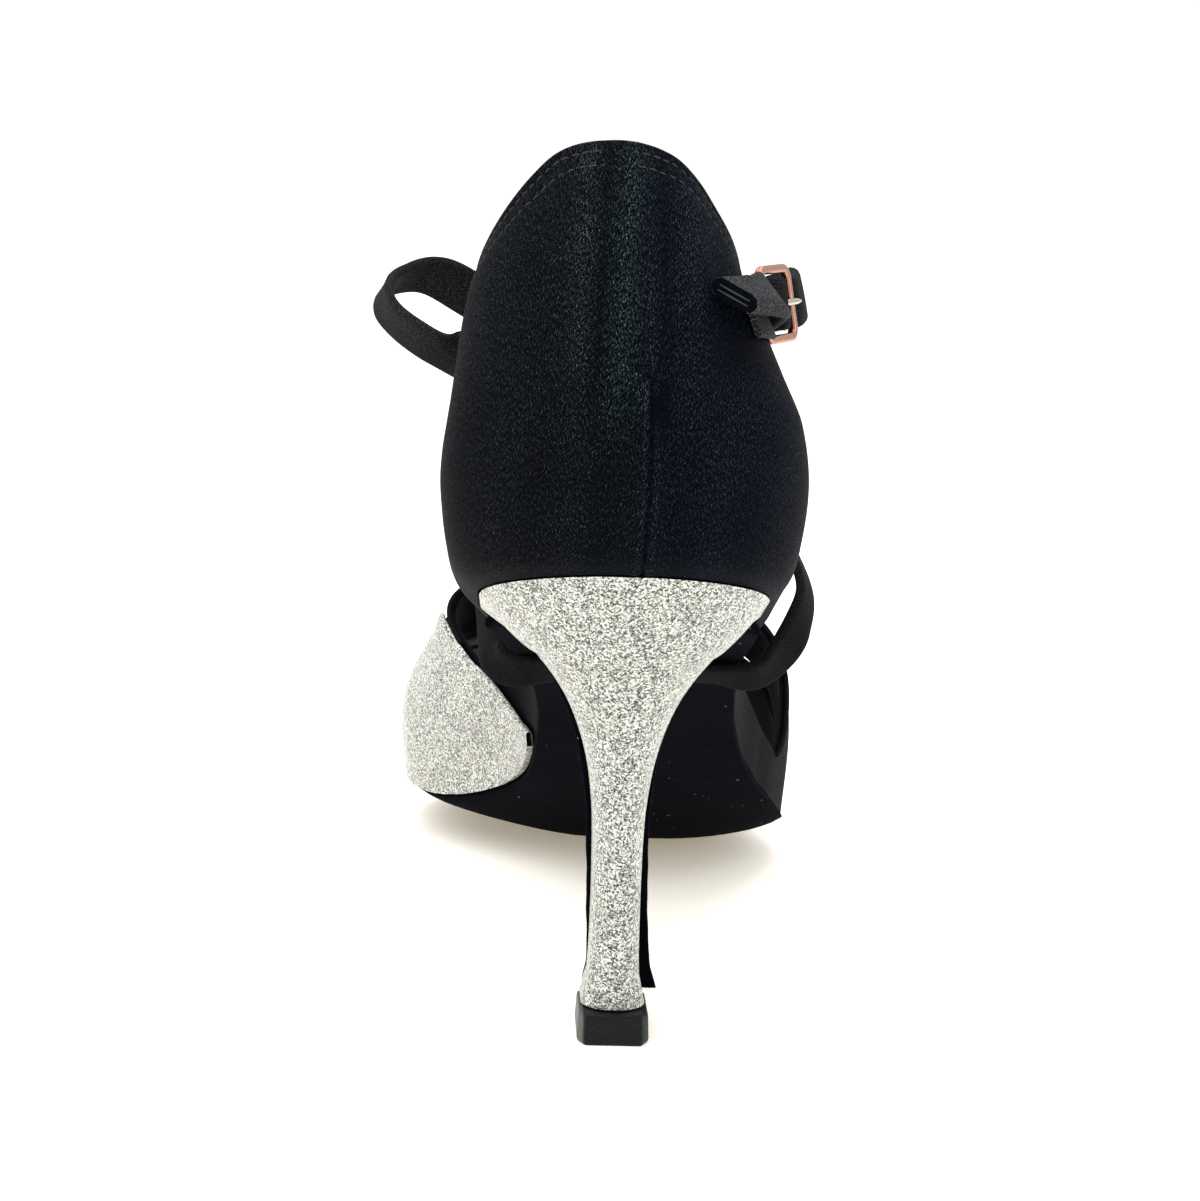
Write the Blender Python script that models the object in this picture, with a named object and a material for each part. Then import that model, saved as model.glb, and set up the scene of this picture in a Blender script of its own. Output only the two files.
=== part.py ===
"""Ballroom dance shoe for the right foot, black satin and silver glitter, on a slim flared heel.

The toe points along +Y, the outer side of the foot is +X, and the origin is the middle of the
heel tip's face on the floor. Lengths are in metres; mm turns a size in millimetres into metres.
Stations along the shoe are shares of its length, counted from the back of the heel seat.
"""

import math
from collections import namedtuple

import bmesh
import bpy
import numpy as np

mm = 0.001

# Driving sizes of the last and the heel
shoe_length = 222 * mm
ball_width = 83 * mm
heel_height = 81 * mm
counter_height = 65.5 * mm
instep_height = 66 * mm
seat_swell = 6.7 * mm
collar_lean = 14.7 * mm
collar_sway = 5.0 * mm

# Thicknesses of the layers and the gap between neighbouring pieces
wall = 1.6 * mm
sole_thickness = 1.9 * mm
insole_thickness = 3.0 * mm
panel_thickness = 0.9 * mm
gap = 0.3 * mm
panel_gap = 0.75 * mm

# Heel and heel tip
seat_length = 39 * mm
stem_width = 7.9 * mm
stem_depth = 12.5 * mm
stem_setback = 20 * mm
flap_overhang = 0.9 * mm
flap_thickness = 1.1 * mm
flap_drift = 1.3 * mm
tip_width = 12.0 * mm
tip_depth = 15.5 * mm
tip_height = 5.0 * mm
tip_chamfer = 2.4 * mm

# Straps and buckle
strap_width = 9.0 * mm
strap_thickness = 1.7 * mm
tab_width = 8.0 * mm
tab_thickness = 1.0 * mm
buckle_height = 13.4 * mm
buckle_length = 13.0 * mm
buckle_wire = 1.5 * mm
buckle_corner = 1.8 * mm
prong_width = 1.1 * mm
buckle_run = (0.18, 0.98, 0.06)
buckle_up = (-0.27, 0.0, 0.96)

flat_inner = 0.03
flat_outer = 0.36
heel_arc = 0.115
toe_arc = 0.17
throat_at_crest = 0.672
toe_at_crest = 0.885
wall_end = 0.94
rim_share = 0.065
flap_end = 0.005

tip_centre = stem_setback + stem_depth / 2
sole_stack = sole_thickness + gap

# Cross sections of the last: shares of the driving sizes. The last four are shares of the ball's
# width: how far the bottom's edges lift above its middle and how far the vamp's sides bulge
Section = namedtuple("Section", "along rise centre half crest ridge lift_inner lift_outer bulge_inner bulge_outer")
last_sections = [
    Section(0, 1.000, -0.006, 0.285, 1.300, 0.000, 0.000, 0.000, 0.096, 0.048),
    Section(0.08, 0.938, -0.006, 0.289, 1.300, 0.000, 0.000, 0.000, 0.096, 0.048),
    Section(0.16, 0.870, -0.004, 0.289, 1.300, 0.000, 0.000, 0.000, 0.096, 0.048),
    Section(0.24, 0.787, 0.016, 0.269, 1.300, 0.000, 0.000, 0.000, 0.096, 0.048),
    Section(0.32, 0.679, 0.044, 0.228, 1.280, 0.000, 0.000, 0.000, 0.096, 0.048),
    Section(0.4, 0.541, 0.068, 0.222, 1.240, -0.010, 0.000, 0.000, 0.096, 0.048),
    Section(0.48, 0.388, 0.088, 0.244, 1.160, -0.030, 0.000, 0.000, 0.114, 0.048),
    Section(0.54, 0.275, 0.108, 0.280, 1.050, -0.070, 0.005, 0.000, 0.151, 0.048),
    Section(0.58, 0.204, 0.112, 0.319, 0.960, -0.100, 0.019, 0.005, 0.163, 0.048),
    Section(0.62, 0.138, 0.101, 0.366, 0.880, -0.120, 0.036, 0.012, 0.145, 0.048),
    Section(0.66, 0.075, 0.078, 0.416, 0.810, -0.130, 0.060, 0.030, 0.108, 0.048),
    Section(0.7, 0.027, 0.046, 0.454, 0.760, -0.120, 0.086, 0.051, 0.072, 0.042),
    Section(0.735, 0.004, 0.017, 0.471, 0.700, -0.100, 0.108, 0.067, 0.054, 0.048),
    Section(0.76, 0.000, 0.003, 0.470, 0.665, -0.095, 0.111, 0.070, 0.048, 0.047),
    Section(0.812, 0.000, -0.014, 0.461, 0.610, -0.085, 0.104, 0.067, 0.040, 0.045),
    Section(0.88, 0.020, -0.030, 0.422, 0.500, -0.070, 0.072, 0.051, 0.030, 0.036),
    Section(0.94, 0.050, -0.034, 0.385, 0.410, -0.050, 0.042, 0.034, 0.024, 0.024),
    Section(1, 0.095, -0.036, 0.360, 0.350, -0.030, 0.018, 0.018, 0.012, 0.012),
]

# How far the counter swells out of the seat's edge, leans in towards the collar, and sways
# over to the inner side, as shares of the sizes above
Profile = namedtuple("Profile", "height swell lean sway")
counter_profile = [
    Profile(0.000, 0.00, 0.00, 0.00),
    Profile(0.025, 0.35, 0.00, 0.00),
    Profile(0.060, 0.60, 0.00, 0.00),
    Profile(0.110, 0.77, 0.00, 0.00),
    Profile(0.200, 0.91, 0.00, 0.00),
    Profile(0.310, 1.00, 0.01, 0.02),
    Profile(0.430, 1.00, 0.07, 0.10),
    Profile(0.550, 1.00, 0.19, 0.30),
    Profile(0.657, 1.00, 0.33, 0.53),
    Profile(0.750, 1.00, 0.48, 0.71),
    Profile(0.855, 1.00, 0.665, 0.74),
    Profile(1.000, 1.00, 1.00, 0.92),
]

# Height of the upper's top edge, as a share of the wall's full height there
Topline = namedtuple("Topline", "along inner outer")
toplines = [
    Topline(0.000, 1.000, 1.000),
    Topline(0.012, 0.985, 0.985),
    Topline(0.030, 0.945, 0.940),
    Topline(0.060, 0.885, 0.875),
    Topline(0.100, 0.825, 0.815),
    Topline(0.150, 0.775, 0.765),
    Topline(0.200, 0.740, 0.725),
    Topline(0.240, 0.715, 0.700),
    Topline(0.268, 0.655, 0.645),
    Topline(0.292, 0.540, 0.530),
    Topline(0.315, 0.380, 0.370),
    Topline(0.345, 0.190, 0.185),
    Topline(0.385, 0.090, 0.090),
    Topline(0.430, rim_share, rim_share),
    Topline(0.490, rim_share, rim_share),
    Topline(0.510, 0.085, rim_share),
    Topline(0.560, 0.190, rim_share),
    Topline(0.600, 0.315, rim_share),
    Topline(0.620, 0.405, 0.110),
    Topline(0.635, 0.515, 0.250),
    Topline(0.650, 0.685, 0.480),
    Topline(0.662, 0.870, 0.740),
    Topline(throat_at_crest, 1.000, 1.000),
    Topline(toe_at_crest, 1.000, 1.000),
    Topline(0.900, 0.820, 0.820),
    Topline(0.915, 0.580, 0.580),
    Topline(0.928, 0.330, 0.330),
    Topline(wall_end, rim_share, rim_share),
]

# Upper edge of the glitter panel on the inner side of the vamp
PanelEdge = namedtuple("PanelEdge", "along top")
panel_edge = [
    PanelEdge(0.640, 0.640),
    PanelEdge(0.690, 0.690),
    PanelEdge(0.760, 0.650),
    PanelEdge(0.830, 0.560),
    PanelEdge(0.890, 0.430),
    PanelEdge(0.930, 0.200),
]
panel_start = 0.478
panel_end = 0.925

# Slots that part the black side of the vamp into three bands: a share of the way from the
# crest (0) to the feather edge (1), inner side negative, and half the slot's width
Slot = namedtuple("Slot", "across along half_width")
slot_rows = {
    "rear": [
        Slot(-0.34, 0.742, 0.0000),
        Slot(-0.26, 0.741, 0.0205),
        Slot(-0.05, 0.737, 0.0313),
        Slot(0.25, 0.730, 0.0361),
        Slot(0.50, 0.722, 0.0313),
        Slot(0.68, 0.716, 0.0193),
        Slot(0.76, 0.713, 0.0000),
    ],
    "front": [
        Slot(-0.36, 0.815, 0.0000),
        Slot(-0.28, 0.814, 0.0193),
        Slot(-0.05, 0.810, 0.0301),
        Slot(0.25, 0.802, 0.0349),
        Slot(0.50, 0.793, 0.0301),
        Slot(0.66, 0.787, 0.0181),
        Slot(0.74, 0.784, 0.0000),
    ],
}

# The heel from the tip to the seat: level is a share of the heel height, width of the top
# width, back and front are shares of the way from the stem to the seat's back and front edge
HeelRow = namedtuple("HeelRow", "level width back front")
heel_rows = [
    HeelRow(0.000, 1.36, -0.06, 0.045),
    HeelRow(0.030, 1.24, -0.05, 0.035),
    HeelRow(0.065, 1.09, -0.02, 0.015),
    HeelRow(0.140, 1.04, 0.00, 0.000),
    HeelRow(0.240, 1.03, 0.01, 0.000),
    HeelRow(0.330, 1.05, 0.02, 0.005),
    HeelRow(0.410, 1.10, 0.05, 0.020),
    HeelRow(0.465, 1.20, 0.08, 0.040),
    HeelRow(0.520, 1.36, 0.12, 0.065),
    HeelRow(0.575, 1.60, 0.18, 0.100),
    HeelRow(0.627, 1.93, 0.25, 0.150),
    HeelRow(0.680, 2.39, 0.34, 0.220),
    HeelRow(0.733, 3.05, 0.44, 0.330),
    HeelRow(0.780, 3.80, 0.54, 0.480),
]

# The long strap between the inner wing and the buckle: across in ball widths, height above the
# seat line in counter heights, with none where it lies under the sole, and the way its face looks
StrapPoint = namedtuple("StrapPoint", "across along height face")
strap_points = [
    StrapPoint(-0.3036, 0.2840, 0.7815, (-0.97, -0.2, 0.15)),
    StrapPoint(-0.3614, 0.2993, 0.8197, (-0.9, -0.4, 0.2)),
    StrapPoint(-0.4366, 0.3142, 0.8858, (-0.8, -0.55, 0.25)),
    StrapPoint(-0.5048, 0.3412, 0.9909, (-0.9, -0.25, 0.35)),
    StrapPoint(-0.5289, 0.3727, 1.1073, (-0.93, 0.15, 0.33)),
    StrapPoint(-0.4988, 0.4043, 1.2142, (-0.75, 0.55, 0.35)),
    StrapPoint(-0.4251, 0.4291, 1.2786, (-0.5, 0.78, 0.38)),
    StrapPoint(-0.3229, 0.4471, 1.2987, (-0.3, 0.85, 0.43)),
    StrapPoint(-0.1687, 0.4606, 1.2379, (-0.12, 0.87, 0.48)),
    StrapPoint(0.0000, 0.4651, 1.1324, (0.05, 0.87, 0.49)),
    StrapPoint(0.1446, 0.4583, 1.0037, (0.22, 0.85, 0.48)),
    StrapPoint(0.2771, 0.4403, 0.8424, (0.45, 0.78, 0.43)),
    StrapPoint(0.3627, 0.4133, 0.6489, (0.75, 0.57, 0.33)),
    StrapPoint(0.4325, 0.3795, 0.4403, (0.92, 0.12, 0.1)),
    StrapPoint(0.4494, 0.3480, 0.2497, (0.95, -0.25, -0.08)),
    StrapPoint(0.4265, 0.3232, 0.1081, (0.84, -0.4, -0.35)),
    StrapPoint(0.3831, 0.3083, 0.0004, (0.72, -0.36, -0.58)),
    StrapPoint(0.3084, 0.3011, None, (0.28, -0.46, -0.84)),
    StrapPoint(0.2169, 0.2993, None, (0.0, -0.45, -0.89)),
    StrapPoint(0.0723, 0.2984, None, (0.0, -0.45, -0.89)),
    StrapPoint(-0.0723, 0.2984, None, (0.0, -0.45, -0.89)),
    StrapPoint(-0.1747, 0.2993, None, (0.0, -0.45, -0.89)),
    StrapPoint(-0.2386, 0.3020, None, (-0.35, -0.5, -0.79)),
    StrapPoint(-0.2843, 0.3101, -0.0178, (-0.7, -0.6, -0.39)),
    StrapPoint(-0.2988, 0.3282, 0.0731, (-0.8, -0.58, -0.05)),
    StrapPoint(-0.3036, 0.3502, 0.1902, (-0.82, -0.56, 0.08)),
    StrapPoint(-0.3169, 0.3750, 0.3374, (-0.9, -0.38, 0.14)),
    StrapPoint(-0.3193, 0.3998, 0.4983, (-0.93, 0.05, 0.22)),
    StrapPoint(-0.2867, 0.4268, 0.6889, (-0.72, 0.62, 0.32)),
    StrapPoint(-0.2108, 0.4516, 0.8841, (-0.45, 0.79, 0.42)),
    StrapPoint(-0.0964, 0.4732, 1.0657, (-0.18, 0.86, 0.48)),
    StrapPoint(0.0301, 0.4840, 1.1943, (0.05, 0.87, 0.49)),
    StrapPoint(0.1627, 0.4786, 1.2613, (0.3, 0.84, 0.45)),
    StrapPoint(0.2831, 0.4525, 1.2587, (0.6, 0.71, 0.37)),
    StrapPoint(0.3639, 0.4110, 1.2057, (0.85, 0.44, 0.28)),
    StrapPoint(0.3976, 0.3615, 1.1161, (0.96, 0.12, 0.24)),
    StrapPoint(0.3855, 0.3119, 1.0159, (0.97, -0.05, 0.25)),
]

# Where the strap starts on the inside of the inner wing and ends on the outside of the counter:
# station, share of the counter's height and, in strap thicknesses, how far it lies off the wall
WallPoint = namedtuple("WallPoint", "along height offset")
strap_start = [
    WallPoint(0.172, 0.5304, -1.765),
    WallPoint(0.205, 0.5898, -1.765),
    WallPoint(0.235, 0.6568, -1.815),
    WallPoint(0.262, 0.7271, -2.024),
]
strap_tail = [
    WallPoint(0.085, 0.7024, 1.941),
    WallPoint(0.062, 0.6818, 1.824),
    WallPoint(0.045, 0.6674, 1.882),
    WallPoint(0.032, 0.6585, 2.294),
    WallPoint(0.023, 0.6533, 2.882),
]
tab_start = [
    WallPoint(0.036, 0.5981, 0.471),
    WallPoint(0.052, 0.6174, 0.471),
    WallPoint(0.072, 0.6424, 0.471),
    WallPoint(0.095, 0.6724, 0.471),
    WallPoint(0.118, 0.7044, 0.765),
]

buckle_centre = StrapPoint(0.3349, 0.2196, 0.8514, None)

# Where the strap threads the buckle and where the prong's slots lie, in buckle lengths along the
# buckle and out of its plane
strap_threading = [
    (1.0385, -0.0692),
    (0.6923, -0.1462),
    (0.5077, -0.1577),
    (0.3538, -0.15),
    (0.0231, 0.0423),
    (-0.3231, 0.2385),
    (-0.5077, 0.2769),
    (-0.7385, 0.2385),
    (-1.0385, 0.2077),
]
slot_along = (-0.3615, 0.1462)
slot_out = (-0.0923, 0.3385)
slot_width = 1.9 * mm
tab_slot_reach = (-0.225, 0.230)

colours = {
    "satin": ((0.012, 0.012, 0.016), 0.55, 0.0),
    "glitter": ((0.55, 0.56, 0.55), 0.40, 0.4),
    "suede": ((0.010, 0.010, 0.014), 0.90, 0.0),
    "lining": ((0.018, 0.018, 0.022), 0.80, 0.0),
    "tip": ((0.020, 0.022, 0.024), 0.45, 0.0),
    "metal": ((0.72, 0.62, 0.56), 0.20, 1.0),
}


def clear_scene():
    for thing in list(bpy.data.objects):
        bpy.data.objects.remove(thing, do_unlink=True)


def smooth_between(knots, values, where):
    """Monotone cubic through the knots, so that level stretches stay level."""
    knots, values = np.asarray(knots, float), np.asarray(values, float)
    step = np.diff(knots)
    slope = np.diff(values) / step
    tangent = np.zeros(len(knots))
    for k in range(1, len(knots) - 1):
        before, after = slope[k - 1], slope[k]
        if before * after > 0:
            near, far = 2 * step[k] + step[k - 1], step[k] + 2 * step[k - 1]
            tangent[k] = (near + far) / (near / before + far / after)
    tangent[0], tangent[-1] = slope[0], slope[-1]
    where = min(max(where, knots[0]), knots[-1])
    k = min(int(np.searchsorted(knots, where, side="right")) - 1, len(step) - 1)
    part = (where - knots[k]) / step[k]
    rest = 1 - part
    return (
        values[k] * (1 + 2 * part) * rest**2
        + tangent[k] * step[k] * part * rest**2
        + values[k + 1] * part**2 * (3 - 2 * part)
        - tangent[k + 1] * step[k] * part**2 * rest
    )


def column(table, name, where, key="along"):
    return smooth_between([getattr(row, key) for row in table], [getattr(row, name) for row in table], where)


def ease(low, high, value):
    share = min(max((value - low) / (high - low), 0.0), 1.0)
    return share * share * (3 - 2 * share)


def unit(vector):
    return vector / max(np.linalg.norm(vector), 1e-12)


def seat_line(along):
    """Height of the last's bottom, where the upper meets the sole."""
    return sole_stack + (heel_height - sole_stack) * column(last_sections, "rise", along)


def edge_lift(side, along, reach=1.0):
    """How far the bottom curls up towards its edge; reach is 0 in the middle and 1 at the edge."""
    lift = column(last_sections, "lift_inner" if side < 0 else "lift_outer", along) * ball_width
    flat, power = (flat_inner, 1.5) if side < 0 else (flat_outer, 2.0)
    return lift * end_rounding(along) * max((reach - flat) / (1 - flat), 0.0) ** power


def along_y(along):
    return along * shoe_length - tip_centre


def end_rounding(along):
    """Share of the half width that is left where the outline turns round the heel or the toe."""
    if along < heel_arc:
        return math.sqrt(max(1 - (1 - along / heel_arc) ** 2, 0.0))
    if along > 1 - toe_arc:
        return math.sqrt(max(1 - ((along - 1 + toe_arc) / toe_arc) ** 2, 0.0))
    return 1.0


def edge_x(side, along, inset=0.0):
    """The feather edge in plan; side is -1 on the inner side of the foot and 1 on the outer."""
    centre = column(last_sections, "centre", along) * ball_width
    half = column(last_sections, "half", along) * ball_width
    return centre + side * max(half - inset, 0.0) * end_rounding(along)


def feather_point(side, along):
    return np.array([edge_x(side, along), along_y(along), seat_line(along) + edge_lift(side, along)])


def outward(side, along):
    """Level direction that points out of the outline."""
    nudge = 1e-4
    low, high = max(along - nudge, 0.0), min(along + nudge, 1.0)
    run = feather_point(side, high) - feather_point(side, low)
    return unit(np.array([side * run[1], -side * run[0], 0.0]))


def counter_point(side, along, share):
    foot = feather_point(side, along)
    out = outward(side, along)
    swell_here = seat_swell * (1 - 0.75 * ease(0.24, 0.36, along))
    lean_share = 0.55 + 0.45 * abs(out[0])
    offset = swell_here * column(counter_profile, "swell", share, "height")
    offset -= collar_lean * lean_share * column(counter_profile, "lean", share, "height")
    sway = -collar_sway * column(counter_profile, "sway", share, "height")
    return foot + out * offset + np.array([sway, 0.0, share * counter_height])


def vamp_point(side, along, share):
    turn = share * math.pi / 2
    edge = edge_x(side, along)
    ridge = (column(last_sections, "centre", along) + column(last_sections, "ridge", along)) * ball_width
    crest = column(last_sections, "crest", along) * instep_height
    reach = max(math.cos(turn), 0.0) ** 0.62
    bulge = column(last_sections, "bulge_inner" if side < 0 else "bulge_outer", along) * ball_width
    across = ridge + (edge - ridge) * reach + side * bulge * math.sin(2 * turn) * end_rounding(along)
    rise = math.sin(turn) ** 0.8
    up = crest * rise + edge_lift(side, along) * (1 - rise)
    return np.array([across, along_y(along), seat_line(along) + up])


def last_point(side, along, share):
    """A point of the upper's outer face, share of the way from the feather edge to the top."""
    blend = ease(0.38, 0.50, along)
    low = counter_point(side, along, share) if blend < 1 else np.zeros(3)
    high = vamp_point(side, along, share) if blend > 0 else np.zeros(3)
    return low * (1 - blend) + high * blend


def last_normal(side, along, share):
    nudge = 2e-3
    back, fore = max(along - nudge, 0.0), min(along + nudge, 1.0)
    low, high = max(share - nudge, 0.0), min(share + nudge, 1.0)
    run = last_point(side, fore, share) - last_point(side, back, share)
    climb = last_point(side, along, high) - last_point(side, along, low)
    if along < nudge:
        run = np.array([side, 0.0, 0.0])
    return unit(side * np.cross(run, climb))


def signed_point(across, along, offset):
    """A point near the vamp, across from -1 (inner feather edge) through the crest to 1."""
    side = -1 if across < 0 else 1
    share = 1 - abs(across)
    return last_point(side, along, share) + last_normal(side, along, min(share, 0.995)) * offset


def spread(low, high, count):
    return [low + (high - low) * k / count for k in range(count)]


def upper_stations():
    around_heel = [heel_arc * (1 - math.cos(math.pi / 2 * k / 8)) for k in range(8)]
    return (
        around_heel
        + spread(heel_arc, 0.24, 5)
        + spread(0.24, 0.345, 8)
        + spread(0.345, 0.49, 5)
        + spread(0.49, 0.62, 8)
        + spread(0.62, throat_at_crest, 8)
        + spread(throat_at_crest, toe_at_crest, 9)
        + spread(toe_at_crest, wall_end, 7)
        + [wall_end]
    )


upper_rows = [0.0, 0.05, 0.13, 0.25, 0.40, 0.58, 0.79, 1.0]


def add_mesh(name, points, faces, material, smooth=True):
    mesh = bpy.data.meshes.new(name)
    mesh.from_pydata([tuple(p) for p in points], [], faces)
    builder = bmesh.new()
    builder.from_mesh(mesh)
    bmesh.ops.remove_doubles(builder, verts=builder.verts, dist=1e-6)
    bmesh.ops.recalc_face_normals(builder, faces=builder.faces)
    builder.to_mesh(mesh)
    builder.free()
    if smooth:
        mesh.shade_smooth()
        mesh.set_sharp_from_angle(angle=math.radians(40))
    thing = bpy.data.objects.new(name, mesh)
    bpy.context.scene.collection.objects.link(thing)
    if material:
        mesh.materials.append(material)
    return thing


def make_material(name):
    colour, roughness, metallic = colours[name]
    material = bpy.data.materials.new(name)
    material.use_nodes = True
    shader = material.node_tree.nodes["Principled BSDF"]
    shader.inputs["Base Color"].default_value = (*colour, 1.0)
    shader.inputs["Roughness"].default_value = roughness
    shader.inputs["Metallic"].default_value = metallic
    return material


def loft(rings, closed_ring=True, capped=True):
    """Points and faces of a tube through rings of equal length."""
    count = len(rings[0])
    points = [p for ring in rings for p in ring]
    faces = []
    for k in range(len(rings) - 1):
        for j in range(count if closed_ring else count - 1):
            here, beside = k * count + j, k * count + (j + 1) % count
            faces.append((here, beside, beside + count, here + count))
    if capped:
        faces.append(tuple(range(count - 1, -1, -1)))
        last = (len(rings) - 1) * count
        faces.append(tuple(range(last, last + count)))
    return points, faces


def wall_solid(columns, crest_pairs=()):
    """A closed wall from columns of (outer points, inner points), bottom to top. crest_pairs
    are the column numbers whose tops meet over the crest, as (first, last, mirrored first)."""
    rows = len(columns[0][0])
    points = [p for outer, inner in columns for p in (*outer, *inner)]
    size = 2 * rows
    faces = []

    def at(column_number, row, inside):
        return column_number * size + row + (rows if inside else 0)

    joined = set(crest_pairs)
    for k in range(len(columns) - 1):
        for row in range(rows - 1):
            faces.append((at(k, row, 0), at(k + 1, row, 0), at(k + 1, row + 1, 0), at(k, row + 1, 0)))
            faces.append((at(k, row, 1), at(k, row + 1, 1), at(k + 1, row + 1, 1), at(k + 1, row, 1)))
        faces.append((at(k, 0, 0), at(k, 0, 1), at(k + 1, 0, 1), at(k + 1, 0, 0)))
        if k not in joined:
            top = rows - 1
            faces.append((at(k, top, 0), at(k + 1, top, 0), at(k + 1, top, 1), at(k, top, 1)))
    for k in (0, len(columns) - 1):
        for row in range(rows - 1):
            faces.append((at(k, row, 0), at(k, row + 1, 0), at(k, row + 1, 1), at(k, row, 1)))
    return points, faces


def upper_column(side, along, thickness=wall, outset=0.0, top=None, rows=tuple(upper_rows)):
    """One upright strip of the wall: its outer and its inner points."""
    if top is None:
        top = column(toplines, "inner" if side < 0 else "outer", along)
    outer, inner = [], []
    for row in rows:
        share = row * top
        place, normal = last_point(side, along, share), last_normal(side, along, min(share, 0.999))
        if share > 0.9999:
            normal = unit(np.array([0.0, normal[1], abs(normal[2])]))
        outer.append(place + normal * outset)
        inner.append(place + normal * (outset - thickness))
    return outer, inner


def make_upper(material):
    stations = upper_stations()
    order = [(-1, along) for along in reversed(stations)] + [(1, along) for along in stations[1:]]
    columns = [upper_column(side, along) for side, along in order]
    joined = [
        k
        for k in range(len(order) - 1)
        if order[k][0] == order[k + 1][0]
        and all(throat_at_crest - 1e-6 <= order[n][1] <= toe_at_crest + 1e-6 for n in (k, k + 1))
    ]
    points, faces = wall_solid(columns, joined)
    upper = add_mesh("upper", points, faces, material)
    for name, rows in slot_rows.items():
        cut_away(upper, make_slot_cutter(name, rows))
    return upper


def make_slot_cutter(name, rows, steps=26):
    """A curved bar that follows the vamp and is as wide as the slot."""
    knots = [row.across for row in rows]
    reach = 2.5 * wall
    rings = []
    for k in range(steps + 1):
        part = k / steps
        across = knots[0] + (knots[-1] - knots[0]) * (1 - math.cos(math.pi * part)) / 2
        along = smooth_between(knots, [row.along for row in rows], across)
        half = max(smooth_between(knots, [row.half_width for row in rows], across) * ball_width, gap / 2)
        near, far = along - half / shoe_length, along + half / shoe_length
        rings.append(
            [
                signed_point(across, near, reach),
                signed_point(across, far, reach),
                signed_point(across, far, -reach),
                signed_point(across, near, -reach),
            ]
        )
    points, faces = loft(rings)
    cutter = add_mesh("cutter_slot_" + name, points, faces, None, smooth=False)
    cutter.hide_render = True
    cutter.display_type = "WIRE"
    return cutter


def cut_away(thing, cutter):
    modifier = thing.modifiers.new(cutter.name, "BOOLEAN")
    modifier.operation = "DIFFERENCE"
    modifier.solver = "EXACT"
    modifier.object = cutter


def make_panel(material):
    """The glitter overlay on the inner side, from the waist to the toes."""
    between = [along for along in upper_stations() if panel_start < along < panel_end]
    stations = [panel_start, *between, panel_end]
    columns = []
    for along in stations:
        throat = column(toplines, "inner", along) if along < throat_at_crest else 1.0
        top = min(throat, column(panel_edge, "top", along))
        columns.append(upper_column(-1, along, panel_thickness, panel_gap + panel_thickness, top))
    points, faces = wall_solid(columns)
    return add_mesh("vamp_panel", points, faces, material)


def bottom_row(along, inset=0.0, count=8):
    """Points across the last's bottom from the inner edge to the outer, curled up at both."""
    left, right = edge_x(-1, along), edge_x(1, along)
    middle, half = (left + right) / 2, max((right - left) / 2, 1e-6)
    row = []
    for k in range(count + 1):
        reach = 2 * k / count - 1
        reach = math.copysign(abs(reach) ** 0.8, reach) * max(half - inset, 0.0) / half
        lift = edge_lift(-1 if reach < 0 else 1, along, abs(reach))
        row.append(np.array([middle + half * reach, along_y(along), seat_line(along) + lift]))
    return row


def row_normals(row, slope):
    """The bottom's own upward directions along a row, for layers of even thickness."""
    found = []
    for k in range(len(row)):
        across = row[min(k + 1, len(row) - 1)] - row[max(k - 1, 0)]
        tilt = -across[2] / max(across[0], 1e-9)
        found.append(unit(slope + np.array([tilt, 0.0, 0.0]) * slope[2]))
    return found


def slab(name, stations, inset, lower, upper, material):
    """A piece of even thickness that follows the bottom between two heights above it."""
    rings = []
    for along in stations:
        row = bottom_row(along, inset(along))
        normals = row_normals(row, bottom_normal(along))
        low = [place + normal * lower for place, normal in zip(row, normals)]
        high = [place + normal * upper for place, normal in zip(row, normals)]
        rings.append(low + high[::-1])
    points, faces = loft(rings)
    return add_mesh(name, points, faces, material)


def bottom_normal(along):
    nudge = 5e-3
    low, high = max(along - nudge, 0.0), min(along + nudge, 1.0)
    rise = seat_line(high) - seat_line(low)
    return unit(np.array([0.0, -rise, (high - low) * shoe_length]))


def insole_stations():
    around_heel = [heel_arc * (1 - math.cos(math.pi / 2 * (k + 0.6) / 9)) for k in range(9)]
    around_toe = [1 - toe_arc * (1 - math.cos(math.pi / 2 * (9 - k) / 9)) for k in range(9)]
    return around_heel + spread(heel_arc, 1 - toe_arc, 22) + around_toe + [1 - 0.0008]


def insole_inset(along):
    """Clear of the wall where there is one, and out to the sole's edge at the open toe."""
    return (wall + 2 * gap) * (1 - ease(0.93, 0.97, along)) + gap


def make_insole(material):
    shift = 1.6 * gap / shoe_length
    stations = [min(max(along, 8 * shift), 1 - 3 * shift) for along in insole_stations()]
    return slab("insole", sorted(set(stations)), insole_inset, 0.0, insole_thickness, material)


def heel_row_at(level):
    """Half width, back and front of the heel at a share of its height."""
    width = column(heel_rows, "width", level, "level") * stem_width
    back_share = column(heel_rows, "back", level, "level")
    front_share = column(heel_rows, "front", level, "level")
    stem_back, stem_front = stem_setback, stem_setback + stem_depth
    back = stem_back * (1 - back_share)
    front = stem_front + (seat_length - stem_front) * front_share
    return width / 2, back - tip_centre, front - tip_centre


def u_shape(half, back, front, arc, count=22):
    """Plan of the heel: round at the back, flat across the breast."""
    ring = []
    for k in range(count + 1):
        turn = math.pi * k / count
        depth = 1 - math.sin(turn)
        bent = min(depth / arc, 1.0)
        across = half * math.sqrt(max(1 - (1 - bent) ** 2, 0.0)) * (-1 if turn < math.pi / 2 else 1)
        ring.append(np.array([across, back + (front - back) * depth, 0.0]))
    for k in range(1, 4):
        ring.append(ring[count] + (ring[0] - ring[count]) * k / 4)
    return ring


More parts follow.
